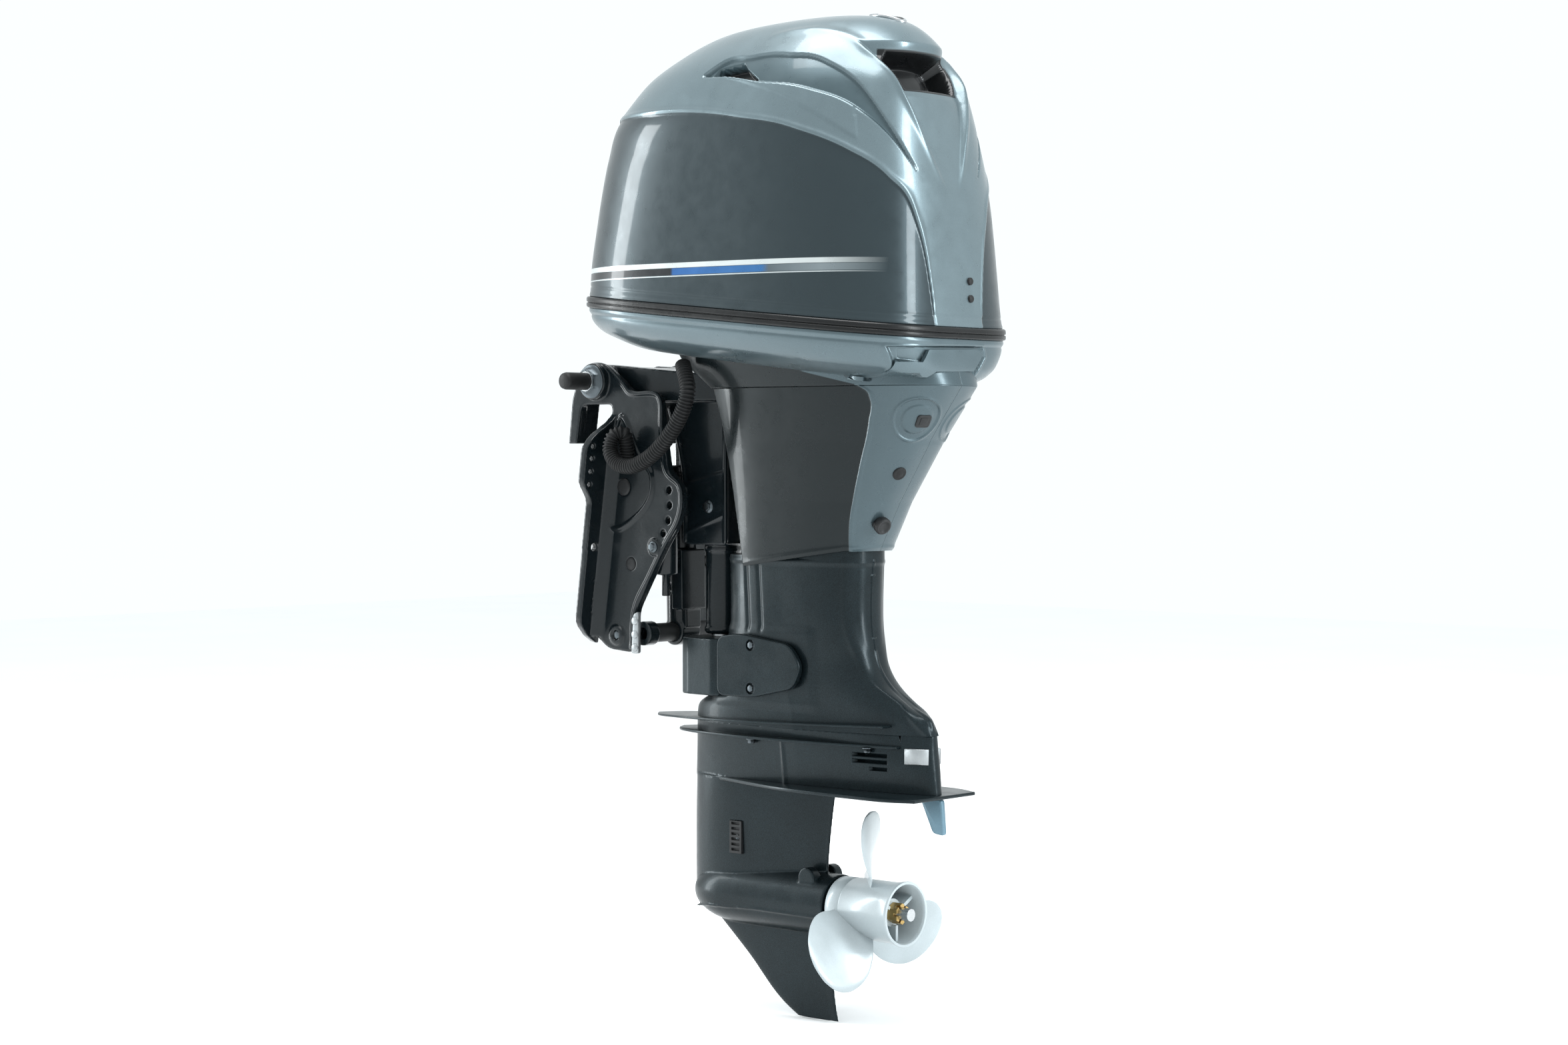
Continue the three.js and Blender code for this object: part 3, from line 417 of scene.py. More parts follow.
def welded(name, parts, voxel, passes, minus=()):
    """Overlapping solids grown into one casting with soft inner corners."""
    obj = piece(name, parts)
    if minus:
        holes = piece("holes", minus)
        bpy.context.view_layer.update()
    merge = obj.modifiers.new("merge", "REMESH")
    merge.mode = "VOXEL"
    merge.voxel_size = voxel * MM
    soften = obj.modifiers.new("soften", "SMOOTH")
    soften.factor = 0.5
    soften.iterations = passes
    applied(obj)
    if minus:
        boolean(obj, [holes])
    obj.data.shade_smooth()
    return obj


def stand(obj, material, *nodes, body=None):
    """obj takes a material and stands for CAD nodes, on their body unless another is named."""
    obj.data.materials.clear()
    obj.data.materials.append(material)
    if nodes:
        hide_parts(*nodes)
    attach(obj, body or BODY_OF[nodes[0]])
    return obj


def put(name, parts, material, *nodes, body=None):
    return stand(piece(name, parts), material, *nodes, body=body)


# ---- materials ----------------------------------------------------------------------------------
class Look:
    """A node material in the making: object coordinates, a shader, and a few short ways to join nodes."""

    def __init__(self, name, colour, metallic=0.0, rough=0.5, coat=0.0, coat_rough=0.05, specular=0.5):
        self.material = bpy.data.materials.new(name)
        self.material.use_nodes = True
        self.tree = self.material.node_tree
        self.shader = self.tree.nodes["Principled BSDF"]
        fixed = {"Metallic": metallic, "Roughness": rough, "Coat Weight": coat, "Coat Roughness": coat_rough,
                 "Specular IOR Level": specular}
        for socket, value in fixed.items():
            self.shader.inputs[socket].default_value = value
        self.place = self.new("ShaderNodeTexCoord").outputs["Object"]
        self.colour = self.rgb(colour)
        self.bumps = None

    def new(self, kind, **sets):
        node = self.tree.nodes.new(kind)
        for key, value in sets.items():
            setattr(node, key, value)
        return node

    def link(self, a, b):
        self.tree.links.new(a, b)

    def rgb(self, colour):
        node = self.new("ShaderNodeRGB")
        node.outputs[0].default_value = (*colour, 1)
        return node.outputs[0]

    def noise(self, scale, detail=3, rough=0.6, stretch=None):
        node = self.new("ShaderNodeTexNoise")
        node.inputs["Scale"].default_value = scale
        node.inputs["Detail"].default_value = detail
        node.inputs["Roughness"].default_value = rough
        if stretch:
            mapping = self.new("ShaderNodeMapping")
            mapping.inputs["Scale"].default_value = stretch
            self.link(self.place, mapping.inputs["Vector"])
            self.link(mapping.outputs[0], node.inputs["Vector"])
        else:
            self.link(self.place, node.inputs["Vector"])
        return node.outputs["Fac"]

    def cells(self, scale):
        node = self.new("ShaderNodeTexVoronoi")
        node.inputs["Scale"].default_value = scale
        self.link(self.place, node.inputs["Vector"])
        return node.outputs["Color"]

    def ranged(self, value, low, high, to_low=0.0, to_high=1.0):
        node = self.new("ShaderNodeMapRange")
        for key, number in zip(("From Min", "From Max", "To Min", "To Max"), (low, high, to_low, to_high)):
            node.inputs[key].default_value = number
        self.link(value, node.inputs["Value"])
        return node.outputs[0]

    def maths(self, operation, a, b=0.0):
        node = self.new("ShaderNodeMath", operation=operation)
        for socket, value in zip(node.inputs, (a, b)):
            if isinstance(value, (int, float)):
                socket.default_value = value
            else:
                self.link(value, socket)
        return node.outputs[0]

    def mix(self, factor, colour, blend="MIX"):
        """Lays another colour over what is there."""
        node = self.new("ShaderNodeMix", data_type="RGBA", blend_type=blend)
        if isinstance(factor, (int, float)):
            node.inputs["Factor"].default_value = factor
        else:
            self.link(factor, node.inputs["Factor"])
        other = self.rgb(colour) if isinstance(colour, tuple) else colour
        self.link(self.colour, node.inputs[6])
        self.link(other, node.inputs[7])
        self.colour = node.outputs[2]

    def shade(self, grey):
        """Multiplies the colour by a grey value."""
        node = self.new("ShaderNodeCombineColor")
        for socket in node.inputs:
            self.link(grey, socket)
        self.mix(1.0, node.outputs[0], "MULTIPLY")

    def mottle(self, scale, amount):
        """Lighter and darker patches."""
        self.shade(self.ranged(self.noise(scale), 0.35, 0.65, 1 - amount, 1 + amount))

    def flake(self, scale, amount):
        """Bright and dark specks of metal in a paint."""
        split = self.new("ShaderNodeSeparateColor")
        self.link(self.cells(scale), split.inputs[0])
        self.shade(self.ranged(split.outputs[0], 0, 1, 1 - amount, 1 + amount))

    def roughen(self, scale, low, high, stretch=None):
        self.link(self.ranged(self.noise(scale, stretch=stretch), 0.3, 0.7, low, high),
                  self.shader.inputs["Roughness"])

    def bump(self, value, strength, depth):
        node = self.new("ShaderNodeBump")
        node.inputs["Strength"].default_value = strength
        node.inputs["Distance"].default_value = depth
        self.link(value, node.inputs["Height"])
        if self.bumps:
            self.link(self.bumps, node.inputs["Normal"])
        self.bumps = node.outputs[0]

    def attribute(self, name):
        return self.new("ShaderNodeAttribute", attribute_name=name).outputs["Fac"]

    def edge(self, name, width=0.5):
        """1 where the stored distance in millimetres is positive."""
        return self.ranged(self.attribute(name), -width, width)

    def done(self):
        self.link(self.colour, self.shader.inputs["Base Color"])
        if self.bumps:
            self.link(self.bumps, self.shader.inputs["Normal"])
        return self.material


def metallic_paint(name, colour, flake=0.2, metallic=0.55, rough=(0.26, 0.36), peel=0.06, coat=0.3,
                   specular=0.4):
    look = Look(name, colour, metallic, rough[0], coat, 0.06, specular)
    look.mottle(5, 0.05)
    look.flake(2600, 0.5 * flake)
    look.roughen(40, *rough)
    look.bump(look.noise(160, 2), peel, 0.0006)
    return look


def cast_paint(name, colour, flake=0.25, metallic=0.3, rough=(0.22, 0.36), coat=0.5, grain=0.16,
               specular=0.25):
    look = Look(name, colour, metallic, rough[0], coat, 0.1, specular)
    look.mottle(7, 0.12)
    look.flake(1900, flake)
    look.roughen(26, *rough)
    look.bump(look.noise(300, 3), grain, 0.0005)
    look.bump(look.noise(45, 2), 0.12, 0.0016)
    return look


def plastic(name, colour, rough=(0.42, 0.6), grain=900):
    look = Look(name, colour, 0.0, rough[0], specular=0.28)
    look.mottle(12, 0.14)
    look.roughen(60, *rough)
    look.bump(look.noise(grain, 2), 0.12, 0.0003)
    return look.done()


def metal(name, colour, rough=(0.22, 0.4), stretch=(1, 1, 14), scale=120):
    look = Look(name, colour, 1.0, rough[0])
    look.mottle(30, 0.1)
    look.roughen(scale, *rough, stretch=stretch)
    look.bump(look.noise(scale * 3, 2, stretch=stretch), 0.07, 0.0003)
    return look.done()


COWL = (0.125, 0.17, 0.188)
GRAPHITE = (0.021, 0.034, 0.04)


def cowl_material():
    look = metallic_paint("cowl_paint", COWL)
    look.mix(look.edge("lens"), (0.06, 0.092, 0.105))
    look.mix(look.edge("panel"), GRAPHITE)
    axes = look.new("ShaderNodeSeparateXYZ")
    look.link(look.place, axes.inputs[0])
    x = look.maths("MULTIPLY", axes.outputs[0], 1000)
    across = look.attribute("stripe")
    # The stripe: a silver band over one that goes from black through blue to grey, with a silver line below.
    upper = look.maths("MULTIPLY", look.ranged(across, -0.3, 0.3), look.ranged(across, 7.3, 6.7))
    lower = look.maths("MULTIPLY", look.ranged(across, -10.3, -9.7), look.ranged(across, -0.3, -0.9))
    thin = look.maths("MULTIPLY", look.ranged(across, -12.6, -12.1), look.ranged(across, -10.6, -11.1))
    ends = look.maths("MULTIPLY", look.ranged(x, 480, 556, 1, 0), look.attribute("sides"))
    ramp = look.new("ShaderNodeValToRGB")
    look.link(look.ranged(x, 0, 560), ramp.inputs[0])
    steps = [(0.0, (0.006, 0.008, 0.01)), (0.385, (0.006, 0.008, 0.01)), (0.392, (0.018, 0.1, 0.3)),
             (0.69, (0.03, 0.13, 0.32)), (0.71, (0.09, 0.115, 0.13)), (0.98, (0.3, 0.35, 0.37))]
    while len(ramp.color_ramp.elements) < len(steps):
        ramp.color_ramp.elements.new(0.5)
    for element, (at, colour) in zip(ramp.color_ramp.elements, steps):
        element.position = at
        element.color = (*colour, 1)
    look.mix(look.maths("MULTIPLY", lower, ends), ramp.outputs[0])
    look.mix(look.maths("MULTIPLY", upper, ends), (0.56, 0.6, 0.6))
    look.mix(look.maths("MULTIPLY", thin, ends), (0.5, 0.54, 0.55))
    # Painted shade: near black over the vent and intake mouth recesses, for the shade inside the openings.
    look.mix(look.edge("painted_opening_shade"), (0.008, 0.009, 0.01))
    return look.done()


def apron_material():
    look = metallic_paint("apron_paint", (0.06, 0.087, 0.099), rough=(0.24, 0.36), metallic=0.4,
                          specular=0.25, coat=0.12)
    look.mix(look.edge("panel"), (0.006, 0.01, 0.0115))
    return look.done()


cowl_paint = cowl_material()
pan_paint = metallic_paint("pan_paint", (0.085, 0.12, 0.135)).done()
apron_paint = apron_material()
case_paint = cast_paint("case_paint", (0.009, 0.0155, 0.0185), flake=0.5, metallic=0.5, rough=(0.26, 0.38),
                        coat=0.08).done()
bracket_paint = cast_paint("bracket_paint", (0.005, 0.0085, 0.0105), flake=0.2, metallic=0.1,
                           rough=(0.18, 0.3), coat=0.2).done()
engine_paint = cast_paint("engine_paint", (0.14, 0.16, 0.17), rough=(0.35, 0.5), coat=0.1).done()
propeller_paint = cast_paint("propeller_paint", (0.4, 0.45, 0.47), flake=0.06, metallic=0.12,
                             rough=(0.3, 0.42), coat=0.3, grain=0.08).done()
tab_paint = cast_paint("tab_paint", (0.11, 0.19, 0.24), flake=0.1, metallic=0.3,
                       rough=(0.35, 0.5), coat=0.2).done()
black_plastic = plastic("black_plastic", (0.014, 0.015, 0.016))
black_rubber = plastic("black_rubber", (0.01, 0.0105, 0.011), rough=(0.5, 0.7), grain=600)
seal_rubber = plastic("seal_rubber", (0.006, 0.0065, 0.007), rough=(0.24, 0.36), grain=400)
raw_alloy = metal("raw_alloy", (0.34, 0.36, 0.37), rough=(0.42, 0.62), stretch=(1, 1, 1), scale=90)
steel = metal("steel", (0.48, 0.5, 0.51))
bolt_finish = metal("bolt_finish", (0.09, 0.105, 0.115), rough=(0.3, 0.45), stretch=(1, 1, 1))
brass = metal("brass", (0.48, 0.33, 0.13), rough=(0.3, 0.45), stretch=(12, 1, 1))


# ---- camera, light and floor --------------------------------------------------------------------
def stage():
    scene = bpy.context.scene
    camera = bpy.data.objects.new("camera", bpy.data.cameras.new("camera"))
    scene.collection.objects.link(camera)
    camera.data.lens = 65.05
    camera.data.sensor_width = 36
    camera.location = (2.992, -3.032, -0.072)
    toward = Vector((0.262, 0, -0.172)) - camera.location
    camera.rotation_euler = toward.to_track_quat("-Z", "Y").to_euler()
    scene.camera = camera

    world = bpy.data.worlds.new("studio")
    scene.world = world
    world.use_nodes = True
    background = world.node_tree.nodes["Background"]
    background.inputs["Color"].default_value = (0.93, 0.985, 1.0, 1)
    background.inputs["Strength"].default_value = 1.05
    scene.view_settings.view_transform = "Standard"

    def lamp(name, place, aim, size, power, colour=(1, 1, 1)):
        light = bpy.data.lights.new(name, "AREA")
        light.shape = "RECTANGLE"
        light.size, light.size_y = size
        light.energy = power
        light.color = colour
        obj = bpy.data.objects.new(name, light)
        scene.collection.objects.link(obj)
        obj.location = place
        obj.rotation_euler = (Vector(aim) - Vector(place)).to_track_quat("-Z", "Y").to_euler()

    lamp("top", (0.3, -0.5, 3.0), (0.25, 0, 0), (3.0, 1.6), 130)
    lamp("tail", (3.6, 0.9, 0.9), (0.25, 0, 0), (0.7, 2.6), 95, (0.93, 0.98, 1))
    lamp("nose", (-3.0, -1.6, 0.5), (0, 0, 0), (0.6, 2.8), 80, (0.95, 0.99, 1))

    floor_z = cad_box[0][2] / MM - 1
    size, steps = 9000, 24
    line = np.linspace(-size, size, steps)
    gx, gy = np.meshgrid(line, line, indexing="ij")
    grid = np.stack([gx, gy, np.full_like(gx, floor_z)], -1)
    floor = piece("floor", [(grid.reshape(-1, 3), quads(steps, steps, False))])
    look = Look("floor", (0.95, 0.95, 0.95), 0.0, 0.8)
    look.mottle(2, 0.01)
    look.bump(look.noise(50), 0.03, 0.0005)
    floor.data.materials.append(look.done())


# ---- top cowling --------------------------------------------------------------------------------
SEAL_Z, SEAL_SLOPE, SEAL_X = 122, 0.1, 276
SEAL_HALF = 8.3
TAIL_FROM, LATCH_FROM = 440, 470
FAR = -50  # a distance well outside any outline
SKIN = 4.5
COWL_STATIONS = [  # z, fwd, aft, half, exponent
    (122, -31, 585, 189, 3.5), (178, -31, 581, 187, 3.4), (235, -25, 577, 184, 3.3),
    (293, -19, 572, 179, 3.2), (350, -11, 561, 172, 3.1), (408, 0, 551, 160, 2.9),
    (437, 22, 545, 150, 2.8), (466, 46, 534, 136, 2.6), (494, 90, 518, 115, 2.5),
    (523, 152, 486, 82, 2.3), (537, 235, 430, 44, 2.1), (541, 330, 366, 8, 2.0),
]
# Borders on the cowl as (degrees round from the tail, height).
PANEL_LINE = [(9, 90), (11, 170), (15, 250), (22, 300), (32, 337), (48, 370), (75, 392), (112, 407),
              (155, 412)]
LENS_TOP = [(13, 310), (20, 370), (28, 434), (35, 462), (50, 477), (75, 479), (96, 476), (106, 460)]
LENS_FOOT = [(13, 310), (20, 355), (30, 400), (42, 424), (65, 441), (85, 452), (106, 457)]
LEDGE_FOOT = [(29, 350), (37, 378), (50, 412), (70, 438), (99, 458)]
# The channel below the air intake as (height, half width) and (height, depth).
CHANNEL_HALF = [(250, 4), (290, 15), (317, 27), (355, 42), (383, 53), (413, 64), (440, 72), (478, 84)]
CHANNEL_DEPTH = [(285, 0), (340, 3.5), (385, 6), (415, 9), (428, 13), (600, 13)]


def seal_height(x):
    """The seal's middle, which rises towards the nose."""
    return SEAL_Z - SEAL_SLOPE * (x - SEAL_X)


def turn_of(x, y):
    return np.degrees(np.arctan2(np.abs(y), np.asarray(x, float) - SEAL_X))


def height_by_turn(line, turn, outside):
    """A line's height at each direction round the cowl, and a fixed height beyond its ends."""
    a, z = np.array(line, float).T
    return np.where((turn < a[0]) | (turn > a[-1]), outside, hermite(a, z, turn))


def cowl_grid(rows, cols):
    table = stations(COWL_STATIONS, rows)
    grid = np.zeros((rows, cols, 3))
    for k, (z, fwd, aft, half, n) in enumerate(table):
        ring = hull(fwd, aft, half, n, cols)
        fade = max(0.0, (408 - z) / (408 - SEAL_Z))
        lift = SEAL_HALF * max(0.0, 1 - k / (rows * 0.06))
        grid[k, :, :2] = ring
        grid[k, :, 2] = z + lift - fade * SEAL_SLOPE * (ring[:, 0] - SEAL_X)
    return grid


def cowl_fields(grid):
    x, y, z = np.moveaxis(grid, 2, 0)
    turn = turn_of(x, y)
    side = np.abs(y)
    panel_z = height_by_turn(PANEL_LINE, turn, 411.0)
    panel_z = np.where(turn < 9.5, -400, panel_z)
    slope = np.abs(np.gradient(panel_z, axis=1)) / np.maximum(
        np.linalg.norm(np.gradient(grid[..., :2], axis=1), axis=2), 0.1)
    panel = (panel_z - z) / np.sqrt(1 + np.minimum(slope, 4) ** 2)
    top = height_by_turn(LENS_TOP, turn, 0.0)
    foot = height_by_turn(LENS_FOOT, turn, 1000.0)
    lens = np.minimum(top - z, z - foot)
    ledge = height_by_turn(LEDGE_FOOT, turn, 1000.0)
    ledge = np.minimum(z - ledge, foot - z)
    vent = inside([(253, 457), (259, 468), (302, 472), (314, 462), (341, 444), (338, 440)], x, z)
    vent = np.where((side > 90) & (x > 200), vent, FAR)
    vent = np.minimum(vent, lens - 0.6)
    mouth = inside([(-54, 428), (54, 428), (72, 470), (64, 480), (-64, 480), (-72, 470)], y, z)
    mouth = np.where(x > TAIL_FROM, mouth, FAR)
    half = polyline(CHANNEL_HALF, z)
    channel = np.where(x > TAIL_FROM, np.minimum(half - side, (484 - z) * 0.6), FAR)
    flank = np.where(x > TAIL_FROM, half - side, FAR)
    return dict(panel=panel, lens=lens, ledge=ledge, vent=vent, mouth=mouth, channel=channel, flank=flank)


def cowl_recesses(f, x, z, grow):
    """How far the skin is pushed in by each recess, or by the same ones a little wider for its inner side."""
    push = -1.6 * smooth(f["panel"] + grow, 3.0)
    push += -5.5 * smooth(f["lens"] + grow, 3.0)
    push += -16 * smooth(f["vent"] + grow, 2.2)
    depth = polyline(CHANNEL_DEPTH, z)
    push += -depth * smooth(f["channel"] + grow, 9) * smooth(x - 455, 40)
    return push - 34 * smooth(f["mouth"] + grow, 5.0)


def top_cowling():
    rows, cols = ((300, 860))
    grid = cowl_grid(rows, cols)
    f = cowl_fields(grid)
    x, y, z = np.moveaxis(grid, 2, 0)
    out = normals(grid)
    push = cowl_recesses(f, x, z, 0.0)
    push += ridge(f["panel"] + 3.5, 1.3, 3.5) + 1.6 * smooth(f["ledge"], 4.0)
    push += ridge(f["flank"] + 4, 2.2, 5) * np.clip((z - 290) / 90, 0, 1) * smooth(455 - z, 50)
    crease = near_line([(330, 100), (400, 89), (520, 85)], x, np.abs(y))
    push += ridge(crease, 1.8, 6) * smooth(z - 470, 20) * smooth(x - 340, 60)
    # A soft raised rim at the foot, with a groove above it.
    skirt = z - (SEAL_Z + SEAL_HALF - SEAL_SLOPE * (x - SEAL_X))
    push += ridge(skirt - 14, -0.8, 1.6) + ridge(skirt - 2.5, 0.9, 3)
    outer = grid + out * push[..., None]
    step = 5
    deeper = cowl_recesses(f, x, z, 6.0) - SKIN
    inner = (grid + out * deeper[..., None])[::step]
    inner[0] = outer[0] - out[0] * SKIN
    lines = len(inner)
    pts = np.vstack([outer.reshape(-1, 3), inner.reshape(-1, 3)])
    n = rows * cols
    faces = quads(rows, cols) + [[i + n for i in q] for q in quads(lines, cols, flip=True)]
    faces.append([(rows - 1) * cols + i for i in range(cols)])
    faces.append([n + (lines - 1) * cols + i for i in range(cols)][::-1])
    faces += [[(i + 1) % cols, i, n + i, n + (i + 1) % cols] for i in range(cols)]
    obj = piece("cowling_skin", [(pts, faces)])
    pad = np.full(lines * cols, float(FAR))
    # Painted shade: the vent and the intake mouth are shallow recesses, marked here to be painted near black for the
    # shade inside the openings.
    dark = inside([(-60, 422), (60, 422), (80, 470), (74, 483), (-74, 483), (-80, 470)], y, z)
    opening_shade = np.maximum(f["vent"] - 0.5, np.where(x > TAIL_FROM, np.minimum(dark, f["flank"] - 2.5), FAR))
    tag(obj, "panel", np.r_[f["panel"].ravel(), pad])
    tag(obj, "lens", np.r_[f["lens"].ravel(), pad])
    tag(obj, "painted_opening_shade", np.r_[opening_shade.ravel(), -pad])
    tag(obj, "stripe", np.r_[(z - 186 + 0.012 * (x - 311)).ravel(), pad])
    tag(obj, "sides", np.r_[((np.abs(y) > 60) & (x > -15)).astype(float).ravel(), pad * 0])
    stand(obj, cowl_paint, "top_cowling")

    plugs = [lathe([(h - 581, r) for h, r in [(572, 5.2), (582.4, 5.2), (583.4, 4.2), (583.4, 0.02)]], "x",
                   (581 + shift, 26, height)) for height, shift in ((163, 0.4), (139, 1.6))]
    put("tail_plugs", plugs, black_rubber, body="cowling")

    # A plain oval badge on the crown.
    angle = np.linspace(0, 2 * math.pi, 72, endpoint=False)
    rings = []
    for r, lift in [(0.02, 1.9), (0.6, 1.8), (0.8, 1.5), (0.86, 2.3), (0.95, 2.3), (1.0, 1.6), (1.0, -3.0)]:
        bx = 456 + 30 * r * np.cos(angle)
        by = 19 * r * np.sin(angle)
        top = hermite([400, 430, 486, 518, 534], [539.5, 537, 523, 494, 466], bx) - 0.0012 * by**2
        rings.append(np.stack([bx + lift * 0.35, by, top + lift], 1))
    rings = np.array(rings)
    put("crown_badge_rim", [loft(rings[3:][::-1])], steel, body="cowling")
    put("crown_badge", [loft(rings[:4][::-1])], black_plastic, body="cowling")


def seal_band():
    profile = [(-7, -7.4), (-1, -8), (1.6, -7.6), (3.0, -6), (3.2, -2.4), (2.9, -1.3), (1.4, -0.8),
               (1.4, 0.0),
               (2.9, 0.6), (3.2, 1.6), (3.0, 5.8), (1.6, 7.6), (-1, 8), (-7, 7.4)]
    cols = 480
    grid = []
    for grow, dz in along(profile, count=56, closed=True):
        ring = hull(-31 - grow, 585 + grow, 189 + grow, 3.5, cols)
        grid.append(np.column_stack([ring, seal_height(ring[:, 0]) + dz]))
    grid = np.array(grid)
    faces = [[i % (56 * cols) for i in q] for q in quads(57, cols)]
    obj = piece("seal_band", [(grid.reshape(-1, 3), faces)])
    stand(obj, seal_rubber, "cowl_seal")


# ---- bottom cowling -----------------------------------------------------------------------------
PAN_STATIONS = [  # fwd, aft, half, exponent, height at the nose, height at the tail
    (-31, 585, 188, 3.5, 145.5, 84), (-28, 585, 183, 3.4, 124, 62), (-17, 582, 172, 3.3, 110, 44),
    (0, 578, 158, 3.2, 100, 34), (36, 570, 128, 3.0, 84, 24), (90, 545, 80, 2.6, 80, 22.6),
]
LATCH_RECESS = [(-125, 70), (50, 73), (55, 60), (38, 33), (-45, 30), (-58, 20), (-92, 20), (-102, 32)]
LATCH_TOP = [(-112, 50), (-74, 50), (-66, 67), (38, 70), (46, 62)]
LATCH_FOOT = [(-112, 31), (-58, 30), (-46, 38), (33, 40), (46, 58)]


def pan_grid(rows, cols, grow=0.0):
    table = np.asarray(PAN_STATIONS, float)
    cum = np.r_[0, np.cumsum(np.linalg.norm(np.diff(table[:, [2, 4]], axis=0), axis=1))]
    at = np.linspace(0, cum[-1], rows)
    table = np.stack([hermite(cum, table[:, i], at) for i in range(6)], 1)
    grid = np.zeros((rows, cols, 3))
    for k, (fwd, aft, half, n, zf, za) in enumerate(table):
        ring = hull(fwd - grow, aft + grow, half + grow, n, cols)
        z = zf + (za - zf) * (ring[:, 0] - fwd) / (aft - fwd)
        if k == 0:
            z = seal_height(ring[:, 0]) - 8.2
        grid[k] = np.column_stack([ring, z - (grow if k else 0)])
    return grid[::-1]


def bottom_cowling():
    rows, cols, inner_rows = 150, 760, 40
    grid = pan_grid(rows, cols)
    x, y, z = np.moveaxis(grid, 2, 0)
    out = normals(grid)
    recess = np.where(x > LATCH_FROM, inside(LATCH_RECESS, y, z), FAR)
    pocket = inside([(-110, 66), (-72, 68), (-72, 52), (-106, 54)], y, z)
    pocket = np.where(x > LATCH_FROM, pocket, FAR)
    push = -5.4 * smooth(recess, 2.2) + ridge(recess + 2.6, 1.0, 2.2) - 7 * smooth(pocket, 3)
    rim = seal_height(x) - 8.2 - z
    push += ridge(rim - 4, 1.4, 3.2) - ridge(rim - 10, 1.1, 2.0)
    outer = grid + out * push[..., None]
    inner = pan_grid(inner_rows, cols, -SKIN)[1:]
    n = rows * cols
    m = (inner_rows - 1) * cols
    pts = np.vstack([outer.reshape(-1, 3), inner.reshape(-1, 3)])
    faces = quads(rows, cols) + [[i + n for i in q] for q in quads(inner_rows - 1, cols, flip=True)]
    faces.append(list(range(cols))[::-1])
    faces.append([n + i for i in range(cols)])
    top, inner_top = n - cols, n + m - cols
    faces += [[top + i, top + (i + 1) % cols, inner_top + (i + 1) % cols, inner_top + i] for i in range(cols)]
    throat = apron_grid(40, 260, 74, 20.3, 0.0)
    obj = piece("bottom_cowl_pan", [(pts, faces)])
    stand(obj, pan_paint, "bottom_cowling")
    for side, skin in (("port", throat), ("starboard", mirror_grid(throat))):
        obj = piece(side + "_throat", [shell(skin, 4)])
        x, z = skin[..., 0], skin[..., 2]
        dark = polyline(THROAT_EDGE, x) - z
        dark = np.where(x > 480, 480 - x, dark)
        tag(obj, "panel", np.r_[dark.ravel(), dark.ravel()])
        stand(obj, apron_paint, body="outboard")


def mirror_grid(grid):
    return grid[:, ::-1] * [1, -1, 1]


def latch():
    """A lever plate that follows the pan's skin, a little proud of it."""
    rows, cols, proud, thick = 24, 140, 1.6, 5.8
    skin = pan_grid(220, 1400, proud)
    skin = skin[skin[..., 0] > TAIL_FROM]
    across = np.linspace(LATCH_TOP[0][0], LATCH_TOP[-1][0], cols)
    low = polyline(LATCH_FOOT, across)
    high = polyline(LATCH_TOP, across)
    grid = np.zeros((rows, cols, 3))
    for i, share in enumerate(np.linspace(0, 1, rows)):
        grid[i, :, 1] = across
        grid[i, :, 2] = low + (high - low) * share
        for j in range(cols):
            away = np.hypot(skin[:, 1] - grid[i, j, 1], skin[:, 2] - grid[i, j, 2])
            near = np.argpartition(away, 8)[:8]
            weight = 1 / (away[near] + 0.3) ** 2
            grid[i, j, 0] = np.sum(skin[near, 0] * weight) / np.sum(weight)
    if np.sum(normals(grid, False)[..., 0]) < 0:
        grid = grid[:, ::-1]
    obj = piece("latch_lever", [shell(grid, thick)])
    crisp(obj, 0.9, 3, 40)
    stand(obj, pan_paint, "cowl_latch_lever")


# ---- apron --------------------------------------------------------------------------------------
APRON_STATIONS = [  # z, fwd, aft, half, exponent
    (74, 96, 572, 126, 2.8), (20, 136, 588, 107, 2.6), (-56, 152, 532, 93, 2.6), (-140, 166, 478, 79, 2.6),
    (-236, 178, 428, 65, 2.7),
]
APRON_FRONT = [(60, 139), (38, 177), (19, 203), (-28, 216), (-83, 223), (-148, 228), (-300, 243)]
APRON_HEM = [(238, -234), (420, -209), (700, -205)]
THROAT_EDGE = [(170, 86), (315, 70), (400, 40), (480, 22)]
APRON_EDGE = [(480, 22), (494, 14), (499, 0), (490, -30), (464, -90), (436, -160), (418, -240)]


def apron_section(z):
    fwd, aft, half, n = [polyline([(row[0], row[i]) for row in APRON_STATIONS], z) for i in range(1, 5)]
    t = np.linspace(0, math.pi, 500)
    r = (np.abs(np.cos(t)) ** n + np.abs(np.sin(t)) ** n) ** (-1 / n)
    x = (fwd + aft) / 2 + (aft - fwd) / 2 * r * np.cos(t)
    y = -half * r * np.sin(t)
    limit = polyline(APRON_FRONT, z)
    keep = x >= limit
    x, y = x[keep], y[keep]
    d = np.r_[0, np.cumsum(np.hypot(np.diff(x), np.diff(y)))]
    return x, y, d


def apron_grid(rows, cols, top, bottom, gap):
    """The port half, columns from the centreline aft to the curved front edge, rows from the top down."""
    levels = np.linspace(top, bottom, 80)
    table = []
    for z in levels:
        x, y, d = apron_section(z)
        at = np.linspace(0, d[-1], cols)
        table.append(np.column_stack([np.interp(at, d, x), np.minimum(np.interp(at, d, y), -gap)]))
    table = np.array(table)
    grid = np.zeros((rows, cols, 3))
    for c in range(cols):
        foot = bottom
        if bottom < -100:
            for _ in range(12):
                x_at = np.interp(-foot, -levels, table[:, c, 0])
                foot = polyline(APRON_HEM, x_at)
        z = np.linspace(top, foot, rows)
        grid[:, c, 0] = np.interp(-z, -levels, table[:, c, 0])
        grid[:, c, 1] = np.interp(-z, -levels, table[:, c, 1])
        grid[:, c, 2] = z
    return grid[:, ::-1][:, ::-1]


